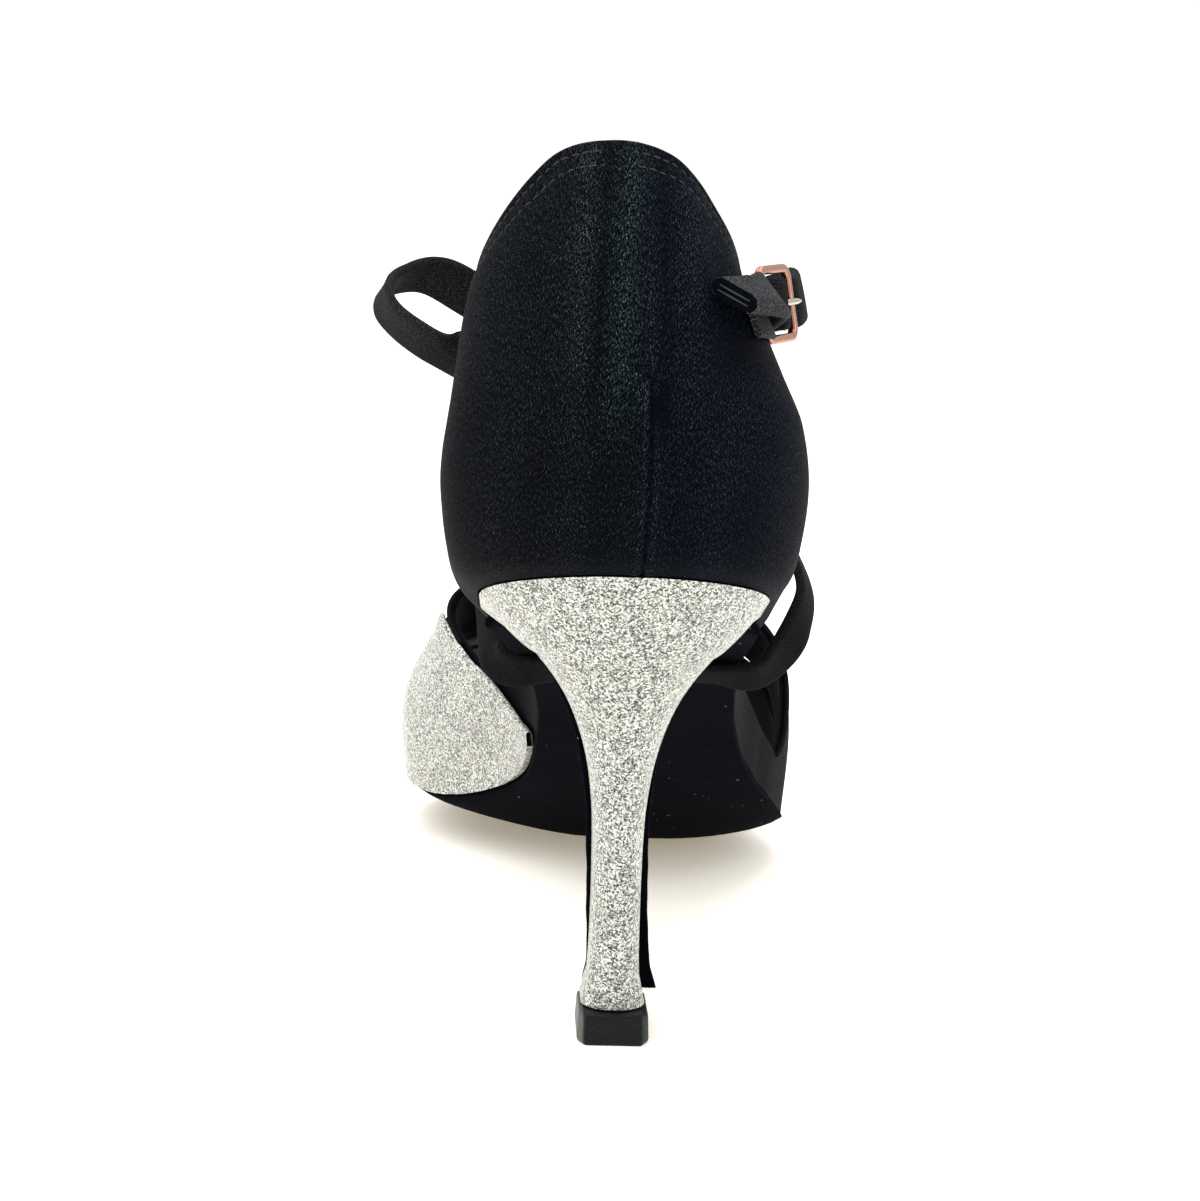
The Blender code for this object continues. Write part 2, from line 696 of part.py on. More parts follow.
def seat_ring(count=22):
    """The heel's top, just under the seat, with the outline of the feather edge."""
    front = seat_length / shoe_length
    ring = []
    for k in range(count + 1):
        turn = math.pi * k / count
        along = front * (1 - math.sin(turn))
        side = -1 if turn < math.pi / 2 else 1
        along = max(along, 0.002)
        ring.append(np.array([edge_x(side, along, gap), along_y(along), seat_line(along) - gap]))
    for k in range(1, 4):
        ring.append(ring[count] + (ring[0] - ring[count]) * k / 4)
    return ring


def make_heel(material):
    rings = []
    for row in heel_rows:
        half, back, front = heel_row_at(row.level)
        level = tip_height + gap + row.level * (heel_height - tip_height)
        arc = 0.45 + 0.35 * row.level
        rings.append([p + np.array([0, 0, level]) for p in u_shape(half, back, front, arc)])
    top = seat_ring()
    below = rings[-1]
    for share in (0.45, 0.80):
        rings.append([low + (high - low) * np.array([share**0.75, share**0.9, share]) for low, high in zip(below, top)])
    rings.append(top)
    points, faces = loft(rings)
    return add_mesh("heel", points, faces, material)


def make_heel_tip(material):
    half, depth, cut = tip_width / 2, tip_depth / 2, tip_chamfer
    plan = [
        (-half, -depth + cut),
        (-half + cut / 2, -depth),
        (half - cut / 2, -depth),
        (half, -depth + cut),
        (half, depth - cut / 3),
        (half - cut / 3, depth),
        (-half + cut / 3, depth),
        (-half, depth - cut / 3),
    ]
    rings = []
    for level, share in ((0.0, 0.96), (0.12, 1.0), (0.9, 0.97), (1.0, 0.95)):
        rings.append([np.array([x * share, y * share, level * tip_height]) for x, y in plan])
    points, faces = loft(rings)
    return add_mesh("heel_tip", points, faces, material, smooth=False)


def breast_line():
    """Where the heel's front face lies, from just under the shank down to the tip."""
    line = []
    for k in range(17):
        level = heel_rows[-1].level - (heel_rows[-1].level - flap_end) * k / 16
        half, _, front = heel_row_at(level)
        line.append((front, tip_height + gap + level * (heel_height - tip_height), half))
    return line


def make_outsole(material):
    """Thin suede sole: toe, ball, shank, then bent down the breast of the heel."""
    front = seat_length / shoe_length
    around_toe = [1 - toe_arc * (1 - math.cos(math.pi / 2 * (9 - k) / 9)) for k in range(9)]
    stations = spread(front + 0.03, 1 - toe_arc, 24) + around_toe + [1 - 0.0006]
    rings = []
    for along in reversed(stations):
        row = bottom_row(along)
        normals = row_normals(row, bottom_normal(along))
        top = [place - normal * gap for place, normal in zip(row, normals)]
        low = [place - normal * (gap + sole_thickness) for place, normal in zip(row, normals)]
        rings.append(top + low[::-1])
    shank_row = rings[-1][: len(row)]
    shank = (shank_row[0] + shank_row[-1]) / 2
    breast = breast_line()
    first = np.array([0.0, breast[0][0] + gap, breast[0][1]])
    bend_start = np.array([0.0, shank[1], shank[2]])
    slope = bottom_normal(stations[0])
    pull = np.linalg.norm(first - bend_start)
    leave = bend_start + np.array([0.0, -slope[2], slope[1]]) * pull * 0.30
    arrive = first + np.array([0.0, 0.12, 0.99]) * pull * 0.25
    sections = []
    for k in range(1, 8):
        s = k / 8
        place = (
            bend_start * (1 - s) ** 3
            + leave * 3 * s * (1 - s) ** 2
            + arrive * 3 * s * s * (1 - s)
            + first * s**3
        )
        ahead = unit(
            (leave - bend_start) * (1 - s) ** 2
            + (arrive - leave) * 2 * s * (1 - s)
            + (first - arrive) * s * s
        )
        half = breast[0][2] + flap_overhang
        left = shank_row[0][0] * (1 - s) - half * s
        right = shank_row[-1][0] * (1 - s) + half * s
        thickness = sole_thickness + (flap_thickness - sole_thickness) * s
        sections.append((place, np.array([0.0, ahead[2], -ahead[1]]), left, right, thickness))
    for k, (front_y, level, half) in enumerate(breast):
        before, after = breast[max(k - 1, 0)], breast[min(k + 1, len(breast) - 1)]
        ahead = unit(np.array([0.0, after[0] - before[0], after[1] - before[1]]))
        normal = np.array([0.0, ahead[2], -ahead[1]])
        drift = flap_drift * (k / (len(breast) - 1)) ** 3
        place = np.array([drift, front_y, level]) - normal * gap
        sections.append((place, normal, -half - flap_overhang, half + flap_overhang, flap_thickness))
    count = len(shank_row) - 1
    for top, normal, left, right, thickness in sections:
        across = [np.array([left + (right - left) * k / count, 0.0, 0.0]) for k in range(count + 1)]
        low = top - normal * thickness
        rings.append([top + step for step in across] + [low + step for step in across[::-1]])
    points, faces = loft(rings)
    return add_mesh("outsole", points, faces, material)


def curve_through(points, per_span):
    """Catmull-Rom curve through the points, with per_span steps between two of them."""
    points = [np.asarray(p, float) for p in points]
    padded = [2 * points[0] - points[1], *points, 2 * points[-1] - points[-2]]
    found = []
    for k in range(1, len(padded) - 2):
        a, b, c, d = padded[k - 1 : k + 3]
        for n in range(per_span):
            s = n / per_span
            found.append(
                0.5
                * (2 * b + (c - a) * s + (2 * a - 5 * b + 4 * c - d) * s * s + (3 * b - a - 3 * c + d) * s**3)
            )
    found.append(points[-1])
    return found


def ribbon(name, path, faces_out, width, thickness, material):
    """A strap of even width along the path, with softly rounded edges."""
    half, deep = width / 2, thickness / 2
    outline = [
        (-half, -deep * 0.4),
        (-half + deep * 0.7, -deep),
        (half - deep * 0.7, -deep),
        (half, -deep * 0.4),
        (half, deep * 0.4),
        (half - deep * 0.7, deep),
        (-half + deep * 0.7, deep),
        (-half, deep * 0.4),
    ]
    rings = []
    for k, place in enumerate(path):
        ahead = unit(path[min(k + 1, len(path) - 1)] - path[max(k - 1, 0)])
        out = faces_out[k] - ahead * np.dot(faces_out[k], ahead)
        out = unit(out)
        side = np.cross(ahead, out)
        rings.append([place + side * a + out * b for a, b in outline])
    points, faces = loft(rings)
    return add_mesh(name, points, faces, material)


def strap_place(point):
    """A place on the strap's route, from shares: height is above the seat line there, in
    counter heights, and None where the strap lies under the sole."""
    place = np.array([point.across * ball_width, along_y(point.along), seat_line(point.along)])
    if point.height is not None:
        return place + np.array([0.0, 0.0, point.height * counter_height])
    drop = 3 * gap + sole_thickness + strap_thickness / 2
    return place - bottom_normal(point.along) * drop


def wall_place(side, point):
    """A place beside the counter's wall, and the way the wall faces there."""
    facing = last_normal(side, point.along, point.height)
    return last_point(side, point.along, point.height) + facing * point.offset * strap_thickness, facing


def buckle_axes():
    """Along the strap, out of the buckle's face, and up across the strap."""
    run = unit(np.array(buckle_run))
    up = np.array(buckle_up)
    up = unit(up - run * np.dot(up, run))
    return run, np.cross(run, up), up


def buckle_place(along, out, up=0.0):
    """A place by the buckle from distances in metres."""
    run, facing, upward = buckle_axes()
    return strap_place(buckle_centre) + run * along + facing * out + upward * up


def make_strap(material):
    places, faces_out = [], []
    for point in strap_start:
        place, facing = wall_place(-1, point)
        places.append(place)
        faces_out.append(facing)
    for point in strap_points:
        places.append(strap_place(point))
        faces_out.append(np.array(point.face))
    for along, out in strap_threading:
        places.append(buckle_place(along * buckle_length, out * buckle_length))
        faces_out.append(buckle_axes()[1])
    for point in strap_tail:
        place, facing = wall_place(1, point)
        places.append(place)
        faces_out.append(facing)
    path, looks = curve_through(places, 2), curve_through(faces_out, 2)
    strap = ribbon("ankle_strap", path, looks, strap_width, strap_thickness, material)
    cut_away(strap, buckle_box("strap_hole", slot_along, slot_out, slot_width))
    return strap


def buckle_box(name, along, out, width):
    """A cutter lined up with the buckle, from two pairs of distances in buckle lengths."""
    rings = []
    for a in along:
        corners = ((out[0], -1), (out[1], -1), (out[1], 1), (out[0], 1))
        rings.append([buckle_place(a * buckle_length, o * buckle_length, u * width / 2) for o, u in corners])
    points, faces = loft(rings)
    cutter = add_mesh("cutter_" + name, points, faces, None, smooth=False)
    cutter.hide_render = True
    return cutter


def bar_centre():
    return (buckle_length - buckle_wire) / 2


def make_tab(material):
    """Short strap on the counter, folded round the buckle's rear bar."""
    places, faces_out = [], []
    for point in tab_start:
        place, facing = wall_place(1, point)
        places.append(place)
        faces_out.append(facing)
    run, facing, _ = buckle_axes()
    bend = buckle_wire / 2 * 1.08 + gap + tab_thickness / 2
    rear = -bar_centre()
    for along, out in ((-0.385 * buckle_length, bend * 0.21), (-0.185 * buckle_length, bend * 0.85)):
        places.append(buckle_place(rear + along, out))
        faces_out.append(facing)
    for k in range(9):
        turn = math.pi / 2 - math.pi * k / 8
        places.append(buckle_place(rear + bend * math.cos(turn), bend * math.sin(turn)))
        faces_out.append(run * math.cos(turn) + facing * math.sin(turn))
    for along, out in ((-0.185 * buckle_length, -bend * 0.85), (-0.385 * buckle_length, -bend * 0.61)):
        places.append(buckle_place(rear + along, out))
        faces_out.append(-facing)
    path, looks = curve_through(places, 2), curve_through(faces_out, 2)
    tab = ribbon("buckle_tab", path, looks, tab_width, tab_thickness, material)
    near, far = (rear / buckle_length + share for share in tab_slot_reach)
    cut_away(tab, buckle_box("tab_slot", (near, far), tab_slot_reach, prong_width + 3 * gap))
    return tab


def make_buckle(material):
    """Rounded rectangular frame of one thick wire."""
    reach, height = bar_centre(), (buckle_height - buckle_wire) / 2
    corner = buckle_corner
    run, facing, up = buckle_axes()
    rings = []
    for quarter, (su, sv) in enumerate(((1, 1), (-1, 1), (-1, -1), (1, -1))):
        for k in range(5):
            turn = math.pi / 2 * (quarter + k / 4)
            away = run * math.cos(turn) + up * math.sin(turn)
            middle = buckle_place(su * (reach - corner), 0.0, sv * (height - corner)) + away * corner
            section = []
            for n in range(8):
                angle = math.pi / 4 * (n + 0.5)
                section.append(middle + (away * math.cos(angle) + facing * math.sin(angle)) * buckle_wire / 2 * 1.05)
            rings.append(section)
    rings.append(rings[0])
    points, faces = loft(rings, capped=False)
    return add_mesh("buckle_frame", points, faces, material)


def make_prong(material):
    """Prong that hooks round the rear bar and rests on the front one."""
    radius = prong_width / 2
    bend = buckle_wire / 2 * 1.05 + gap * 0.7 + radius
    rear, front = -bar_centre(), bar_centre()
    flat = [(rear + bend * math.cos(math.radians(a)), bend * math.sin(math.radians(a))) for a in range(-60, -271, -30)]
    rest = buckle_wire / 2 * 1.05 + gap + radius
    flat += [
        (rear + 0.19 * buckle_length, bend),
        (0.0, bend + gap / 3),
        (front - 0.15 * buckle_length, rest),
        (front + 0.08 * buckle_length, rest),
    ]
    places = [buckle_place(along, out) for along, out in flat]
    _, facing, up = buckle_axes()
    rings = []
    for k, place in enumerate(places):
        ahead = unit(places[min(k + 1, len(places) - 1)] - places[max(k - 1, 0)])
        side = np.cross(ahead, up)
        thin = 0.75 if k == len(places) - 1 else 1.0
        rings.append(
            [
                place + (up * math.cos(math.pi / 4 * n) + side * math.sin(math.pi / 4 * n)) * radius * thin
                for n in range(8)
            ]
        )
    points, faces = loft(rings)
    return add_mesh("buckle_prong", points, faces, material)


def build():
    clear_scene()
    materials = {name: make_material(name) for name in colours}
    make_upper(materials["satin"])
    make_panel(materials["glitter"])
    make_insole(materials["lining"])
    make_outsole(materials["suede"])
    make_heel(materials["glitter"])
    make_heel_tip(materials["tip"])
    make_strap(materials["satin"])
    make_tab(materials["satin"])
    make_buckle(materials["metal"])
    make_prong(materials["metal"])


build()
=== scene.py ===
import math

import bmesh
import bpy
import numpy as np
from mathutils import Matrix, Vector


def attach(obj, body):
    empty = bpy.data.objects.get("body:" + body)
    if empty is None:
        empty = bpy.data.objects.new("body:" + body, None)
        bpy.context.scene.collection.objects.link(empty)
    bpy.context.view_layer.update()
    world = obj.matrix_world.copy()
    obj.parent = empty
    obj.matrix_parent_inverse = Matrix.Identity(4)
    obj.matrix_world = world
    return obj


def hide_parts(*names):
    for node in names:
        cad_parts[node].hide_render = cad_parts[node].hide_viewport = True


# Ballroom dance shoe, right foot: black satin counter on straps, glitter panel and flared
# glitter heel, suede sole that runs on down the breast of the heel.
# Toe along +Y, outer side of the foot +X, floor at z = 0, everything in metres.

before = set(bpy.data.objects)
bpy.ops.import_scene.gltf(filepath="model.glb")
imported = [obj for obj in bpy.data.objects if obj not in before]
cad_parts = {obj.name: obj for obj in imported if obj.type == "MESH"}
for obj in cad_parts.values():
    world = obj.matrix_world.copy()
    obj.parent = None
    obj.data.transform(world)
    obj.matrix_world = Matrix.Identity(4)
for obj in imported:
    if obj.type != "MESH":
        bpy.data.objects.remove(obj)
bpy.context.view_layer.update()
print("frame loaded")

mm = 0.001

shoe = {
    "length": 222 * mm,
    "ballWidth": 83 * mm,
    "heelHeight": 81 * mm,
    "counterHeight": 65.5 * mm,
    "instepHeight": 66 * mm,
    "seatSwell": 6.7 * mm,
    "collarLean": 14.7 * mm,
    "collarSway": 5.0 * mm,
    "heelArc": 0.115,
    "toeArc": 0.17,
    "throat": 0.672,
    "toe": 0.885,
    "wallEnd": 0.94,
    "flatInner": 0.03,
    "flatOuter": 0.36,
}

layers = {
    "wall": 1.6 * mm,
    "satin": 0.95 * mm,
    "lining": 0.60 * mm,
    "sole": 1.9 * mm,
    "insole": 3.0 * mm,
    "gap": 0.3 * mm,
}

heelSizes = {
    "seatLength": 39 * mm,
    "stemWidth": 7.9 * mm,
    "stemDepth": 12.5 * mm,
    "stemSetback": 20 * mm,
    "flapOverhang": 0.9 * mm,
    "flapThickness": 1.1 * mm,
    "flapDrift": 1.3 * mm,
    "flapEnd": 0.005,
    "tipWidth": 12.0 * mm,
    "tipDepth": 15.5 * mm,
    "tipHeight": 5.0 * mm,
    "tipChamfer": 2.4 * mm,
}

tipCentre = heelSizes["stemSetback"] + heelSizes["stemDepth"] / 2
soleStack = layers["sole"] + layers["gap"]

# Sections of the last: station, then shares of the heel height, ball width and instep height
lastNames = "rise centre half crest ridge liftInner liftOuter bulgeInner bulgeOuter".split()
lastSections = [
    (0.00, 1.000, -0.006, 0.285, 1.300, 0.000, 0.000, 0.000, 0.096, 0.048),
    (0.08, 0.938, -0.006, 0.289, 1.300, 0.000, 0.000, 0.000, 0.096, 0.048),
    (0.16, 0.870, -0.004, 0.289, 1.300, 0.000, 0.000, 0.000, 0.096, 0.048),
    (0.24, 0.787, 0.016, 0.269, 1.300, 0.000, 0.000, 0.000, 0.096, 0.048),
    (0.32, 0.679, 0.044, 0.228, 1.280, 0.000, 0.000, 0.000, 0.096, 0.048),
    (0.40, 0.541, 0.068, 0.222, 1.240, -0.010, 0.000, 0.000, 0.096, 0.048),
    (0.48, 0.388, 0.088, 0.244, 1.160, -0.030, 0.000, 0.000, 0.114, 0.048),
    (0.54, 0.275, 0.108, 0.280, 1.050, -0.070, 0.005, 0.000, 0.151, 0.048),
    (0.58, 0.204, 0.112, 0.319, 0.960, -0.100, 0.019, 0.005, 0.163, 0.048),
    (0.62, 0.138, 0.101, 0.366, 0.880, -0.120, 0.036, 0.012, 0.145, 0.048),
    (0.66, 0.075, 0.078, 0.416, 0.810, -0.130, 0.060, 0.030, 0.108, 0.048),
    (0.70, 0.027, 0.046, 0.454, 0.760, -0.120, 0.086, 0.051, 0.072, 0.042),
    (0.735, 0.004, 0.017, 0.471, 0.700, -0.100, 0.108, 0.067, 0.054, 0.048),
    (0.76, 0.000, 0.003, 0.470, 0.665, -0.095, 0.111, 0.070, 0.048, 0.047),
    (0.812, 0.000, -0.014, 0.461, 0.610, -0.085, 0.104, 0.067, 0.040, 0.045),
    (0.88, 0.020, -0.030, 0.422, 0.500, -0.070, 0.072, 0.051, 0.030, 0.036),
    (0.94, 0.050, -0.034, 0.385, 0.410, -0.050, 0.042, 0.034, 0.024, 0.024),
    (1.00, 0.095, -0.036, 0.360, 0.350, -0.030, 0.018, 0.018, 0.012, 0.012),
]

# The counter's profile over its height: swell, lean and sway
counterProfile = [
    (0.000, 0.00, 0.00, 0.00), (0.025, 0.35, 0.00, 0.00), (0.060, 0.60, 0.00, 0.00),
    (0.110, 0.77, 0.00, 0.00), (0.200, 0.91, 0.00, 0.00), (0.310, 1.00, 0.01, 0.02),
    (0.430, 1.00, 0.07, 0.10), (0.550, 1.00, 0.19, 0.30), (0.657, 1.00, 0.33, 0.53),
    (0.750, 1.00, 0.48, 0.71), (0.855, 1.00, 0.665, 0.74), (1.000, 1.00, 1.00, 0.92),
]

# Top edge of the upper: station, inner and outer share of the wall's height
topEdge = [
    (0.000, 1.000, 1.000), (0.012, 0.985, 0.985), (0.030, 0.945, 0.940), (0.060, 0.885, 0.875),
    (0.100, 0.825, 0.815), (0.150, 0.775, 0.765), (0.200, 0.740, 0.725), (0.240, 0.715, 0.700),
    (0.268, 0.655, 0.645), (0.292, 0.540, 0.530), (0.315, 0.380, 0.370), (0.345, 0.190, 0.185),
    (0.385, 0.090, 0.090), (0.430, 0.065, 0.065), (0.490, 0.075, 0.065), (0.520, 0.125, 0.065),
    (0.560, 0.185, 0.065), (0.578, 0.200, 0.065), (0.600, 0.285, 0.065), (0.620, 0.400, 0.110),
    (0.635, 0.515, 0.250),
    (0.650, 0.685, 0.480), (0.662, 0.870, 0.740), (0.672, 1.000, 1.000), (0.885, 1.000, 1.000),
    (0.900, 0.820, 0.820), (0.915, 0.580, 0.580), (0.928, 0.330, 0.330), (0.940, 0.065, 0.065),
]
panelEdge = [
    (0.476, 0.004), (0.490, 0.013), (0.500, 0.022), (0.510, 0.032), (0.520, 0.043), (0.540, 0.083), (0.560, 0.140),
    (0.580, 0.205),
    (0.600, 0.288), (0.620, 0.388), (0.635, 0.455), (0.650, 0.505), (0.690, 0.560), (0.760, 0.560), (0.830, 0.500),
    (0.890, 0.400), (0.930, 0.200),
]
panelRange = (0.477, 0.925)

# How far the worn counter draws in on its inner and its outer side, in mm over its height
counterDraw = [
    (0.00, 0.00, 0.30), (0.06, 0.00, 0.80), (0.15, 0.00, 1.15), (0.22, 0.00, 1.10), (0.35, 0.15, 1.30),
    (0.42, 0.50, 1.60), (0.48, 0.75, 2.00), (0.60, 0.85, 2.45), (0.73, 0.75, 2.35), (0.86, 0.60, 1.90),
    (0.91, 0.30, 1.65), (0.965, -0.20, 0.90), (1.00, 0.40, 0.20),
]

# Two slots in the black side of the vamp: across (crest 0, feather edge 1), station, half width
slotRows = {
    "rear": [(-0.34, 0.742, 0.0), (-0.26, 0.741, 0.0205), (-0.05, 0.737, 0.0313), (0.25, 0.730, 0.0361),
             (0.50, 0.722, 0.0313), (0.68, 0.716, 0.0193), (0.76, 0.713, 0.0)],
    "front": [(-0.36, 0.815, 0.0), (-0.28, 0.814, 0.0193), (-0.05, 0.810, 0.0301), (0.25, 0.802, 0.0349),
              (0.50, 0.793, 0.0301), (0.66, 0.787, 0.0181), (0.74, 0.784, 0.0)],
}

# The heel from its tip to the seat: level, width, back and front
heelRows = [
    (0.000, 1.36, -0.06, 0.045), (0.030, 1.24, -0.05, 0.035), (0.065, 1.09, -0.02, 0.015),
    (0.140, 1.04, 0.00, 0.000), (0.240, 1.03, 0.01, 0.000), (0.330, 1.05, 0.02, 0.005),
    (0.410, 1.10, 0.05, 0.020), (0.465, 1.20, 0.08, 0.040), (0.520, 1.36, 0.12, 0.065),
    (0.575, 1.60, 0.18, 0.100), (0.627, 1.93, 0.25, 0.150), (0.680, 2.39, 0.34, 0.220),
    (0.733, 3.05, 0.44, 0.330), (0.780, 3.80, 0.54, 0.480),
]


# Curves and the last's own surface

def curveThrough(knots, values):
    knots, values = np.array(knots, float), np.array(values, float)
    step = np.diff(knots)
    slope = np.diff(values) / step
    tangent = np.zeros(len(knots))
    for k in range(1, len(knots) - 1):
        before, after = slope[k - 1], slope[k]
        if before * after > 0:
            near, far = 2 * step[k] + step[k - 1], step[k] + 2 * step[k - 1]
            tangent[k] = (near + far) / (near / before + far / after)
    tangent[0], tangent[-1] = slope[0], slope[-1]

    def at(where):
        where = np.clip(where, knots[0], knots[-1])
        k = np.clip(np.searchsorted(knots, where, side="right") - 1, 0, len(step) - 1)
        part = (where - knots[k]) / step[k]
        rest = 1 - part
        level = values[k] * (1 + 2 * part) * rest**2 + values[k + 1] * part**2 * (3 - 2 * part)
        return level + step[k] * part * rest * (tangent[k] * rest - tangent[k + 1] * part)

    return at


def columnOf(table, number):
    return curveThrough([row[0] for row in table], [row[number] for row in table])


last = {name: columnOf(lastSections, k + 1) for k, name in enumerate(lastNames)}
swellAt, leanAt, swayAt = (columnOf(counterProfile, k) for k in (1, 2, 3))
topAt = {-1: columnOf(topEdge, 1), 1: columnOf(topEdge, 2)}
panelTopAt = columnOf(panelEdge, 1)
drawAt = {-1: columnOf(counterDraw, 1), 1: columnOf(counterDraw, 2)}
heelWidthAt, heelBackAt, heelFrontAt = (columnOf(heelRows, k) for k in (1, 2, 3))


def ease(low, high, value):
    share = np.clip((value - low) / (high - low), 0.0, 1.0)
    return share * share * (3 - 2 * share)


def unit(vectors):
    vectors = np.asarray(vectors, float)
    return vectors / np.maximum(np.linalg.norm(vectors, axis=-1, keepdims=True), 1e-12)


def stack(x, y, z):
    return np.stack(np.broadcast_arrays(x, y, z), axis=-1).astype(float)


def alongY(along):
    return along * shoe["length"] - tipCentre


def seatLine(along):
    return soleStack + (shoe["heelHeight"] - soleStack) * last["rise"](along)


def endRounding(along):
    heel = np.clip(1 - along / shoe["heelArc"], 0, 1)
    toe = np.clip((along - 1 + shoe["toeArc"]) / shoe["toeArc"], 0, 1)
    return np.sqrt(np.clip(1 - heel**2, 0, 1)) * np.sqrt(np.clip(1 - toe**2, 0, 1))


def edgeLift(side, along, reach=1.0):
    inner = side < 0
    lift = last["liftInner" if inner else "liftOuter"](along) * shoe["ballWidth"]
    flat, power = (shoe["flatInner"], 1.5) if inner else (shoe["flatOuter"], 2.0)
    return lift * endRounding(along) * np.clip((reach - flat) / (1 - flat), 0, None) ** power


def edgeX(side, along, inset=0.0):
    half = np.clip(last["half"](along) * shoe["ballWidth"] - inset, 0, None)
    return last["centre"](along) * shoe["ballWidth"] + side * half * endRounding(along)


def featherPoint(side, along):
    return stack(edgeX(side, along), alongY(along), seatLine(along) + edgeLift(side, along))


def outward(side, along):
    low, high = np.clip(along - 1e-4, 0, 1), np.clip(along + 1e-4, 0, 1)
    run = featherPoint(side, high) - featherPoint(side, low)
    return unit(stack(side * run[..., 1], -side * run[..., 0], 0 * run[..., 0]))


def counterPoint(side, along, share):
    out = outward(side, along)
    swell = shoe["seatSwell"] * (1 - 0.75 * ease(0.24, 0.36, along)) * swellAt(share)
    lean = shoe["collarLean"] * (0.55 + 0.45 * np.abs(out[..., 0])) * leanAt(share)
    moved = stack(-shoe["collarSway"] * swayAt(share), 0.0, share * shoe["counterHeight"])
    drawn = drawAt[side](share) * mm * out[..., 0] ** 2 * (1 - 0.6 * ease(0.24, 0.36, along))
    return featherPoint(side, along) + out * (swell - lean - drawn)[..., None] + moved


def vampPoint(side, along, share):
    turn = share * math.pi / 2
    edge = edgeX(side, along)
    ridge = (last["centre"](along) + last["ridge"](along)) * shoe["ballWidth"]
    reach = np.clip(np.cos(turn), 0, None) ** 0.62
    bulge = last["bulgeInner" if side < 0 else "bulgeOuter"](along) * shoe["ballWidth"]
    across = ridge + (edge - ridge) * reach + side * bulge * np.sin(2 * turn) * endRounding(along)
    rise = np.sin(turn) ** 0.8
    up = last["crest"](along) * shoe["instepHeight"] * rise + edgeLift(side, along) * (1 - rise)
    return stack(across, alongY(along), seatLine(along) + up)


def lastPoint(side, along, share):
    along, share = np.broadcast_arrays(np.asarray(along, float), np.asarray(share, float))
    blend = ease(0.38, 0.50, along)[..., None]
    return counterPoint(side, along, share) * (1 - blend) + vampPoint(side, along, share) * blend


def lastNormal(side, along, share):
    along, share = np.broadcast_arrays(np.asarray(along, float), np.asarray(share, float))
    nudge = 2e-3
    back, fore = np.clip(along - nudge, 0, 1), np.clip(along + nudge, 0, 1)
    low, high = np.clip(share - nudge, 0, 1), np.clip(share + nudge, 0, 1)
    run = lastPoint(side, fore, share) - lastPoint(side, back, share)
    run = np.where((along < nudge)[..., None], np.array([side, 0.0, 0.0]), run)
    return unit(side * np.cross(run, lastPoint(side, along, high) - lastPoint(side, along, low)))


def crestNormal(along):
    run = lastPoint(-1, along + 2e-3, 1.0) - lastPoint(-1, along - 2e-3, 1.0)
    return unit(stack(0 * run[..., 0], -run[..., 2], run[..., 1]))


def signedPoint(across, along, offset):
    side = -1 if across < 0 else 1
    share = 1 - abs(across)
    return lastPoint(side, along, share) + lastNormal(side, along, min(share, 0.995)) * offset


# Meshes, curves and materials in general

def makePiece(name, points, faces, material, uv=None, smooth=True, angle=40, weld=2e-6):
    mesh = bpy.data.meshes.new(name)
    mesh.from_pydata([tuple(p) for p in points], [], faces)
    if uv is not None:
        layer = mesh.uv_layers.new(name="cloth")
        owners = np.zeros(len(mesh.loops), np.int32)
        mesh.loops.foreach_get("vertex_index", owners)
        layer.data.foreach_set("uv", np.asarray(uv, np.float32)[owners].ravel())
    builder = bmesh.new()
    builder.from_mesh(mesh)
    bmesh.ops.remove_doubles(builder, verts=builder.verts, dist=weld)
    bmesh.ops.recalc_face_normals(builder, faces=builder.faces)
    builder.to_mesh(mesh)
    builder.free()
    if smooth:
        mesh.shade_smooth()
        mesh.set_sharp_from_angle(angle=math.radians(angle))
    thing = bpy.data.objects.new(name, mesh)
    bpy.context.scene.collection.objects.link(thing)
    mesh.materials.append(material)
    return thing


def settle(thing):
    # modifiers become plain mesh
    bpy.context.view_layer.update()
    evaluated = thing.evaluated_get(bpy.context.evaluated_depsgraph_get())
    mesh = bpy.data.meshes.new_from_object(evaluated)
    thing.modifiers.clear()
    thing.data = mesh
    mesh.name = thing.name
    return thing


def finishPiece(thing, slot, *nodes):
    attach(thing, "root")
    if nodes:
        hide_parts(*nodes)
    return thing


def loft(rings, closedRing=True, capped=True):
    count = len(rings[0])
    points = [p for ring in rings for p in ring]
    faces = []
    for k in range(len(rings) - 1):
        for j in range(count if closedRing else count - 1):
            here, beside = k * count + j, k * count + (j + 1) % count
            faces.append((here, beside, beside + count, here + count))
    if capped:
        faces.append(tuple(range(count - 1, -1, -1)))
        end = (len(rings) - 1) * count
        faces.append(tuple(range(end, end + count)))
    return points, faces


def smoothPath(points, perSpan):
    points = [np.asarray(p, float) for p in points]
    padded = [2 * points[0] - points[1], *points, 2 * points[-1] - points[-2]]
    found = []
    for k in range(1, len(padded) - 2):
        a, b, c, d = padded[k - 1 : k + 3]
        for n in range(perSpan):
            s = n / perSpan
            curve = (2 * a - 5 * b + 4 * c - d) * s * s + (3 * b - a - 3 * c + d) * s**3
            found.append(0.5 * (2 * b + (c - a) * s + curve))
    found.append(points[-1])
    return found


socketNames = {
    "colour": "Base Color", "metallic": "Metallic", "roughness": "Roughness", "sheen": "Sheen Weight",
    "sheenRoughness": "Sheen Roughness", "sheenTint": "Sheen Tint", "coat": "Coat Weight",
    "coatRoughness": "Coat Roughness", "specular": "Specular IOR Level", "anisotropic": "Anisotropic",
}


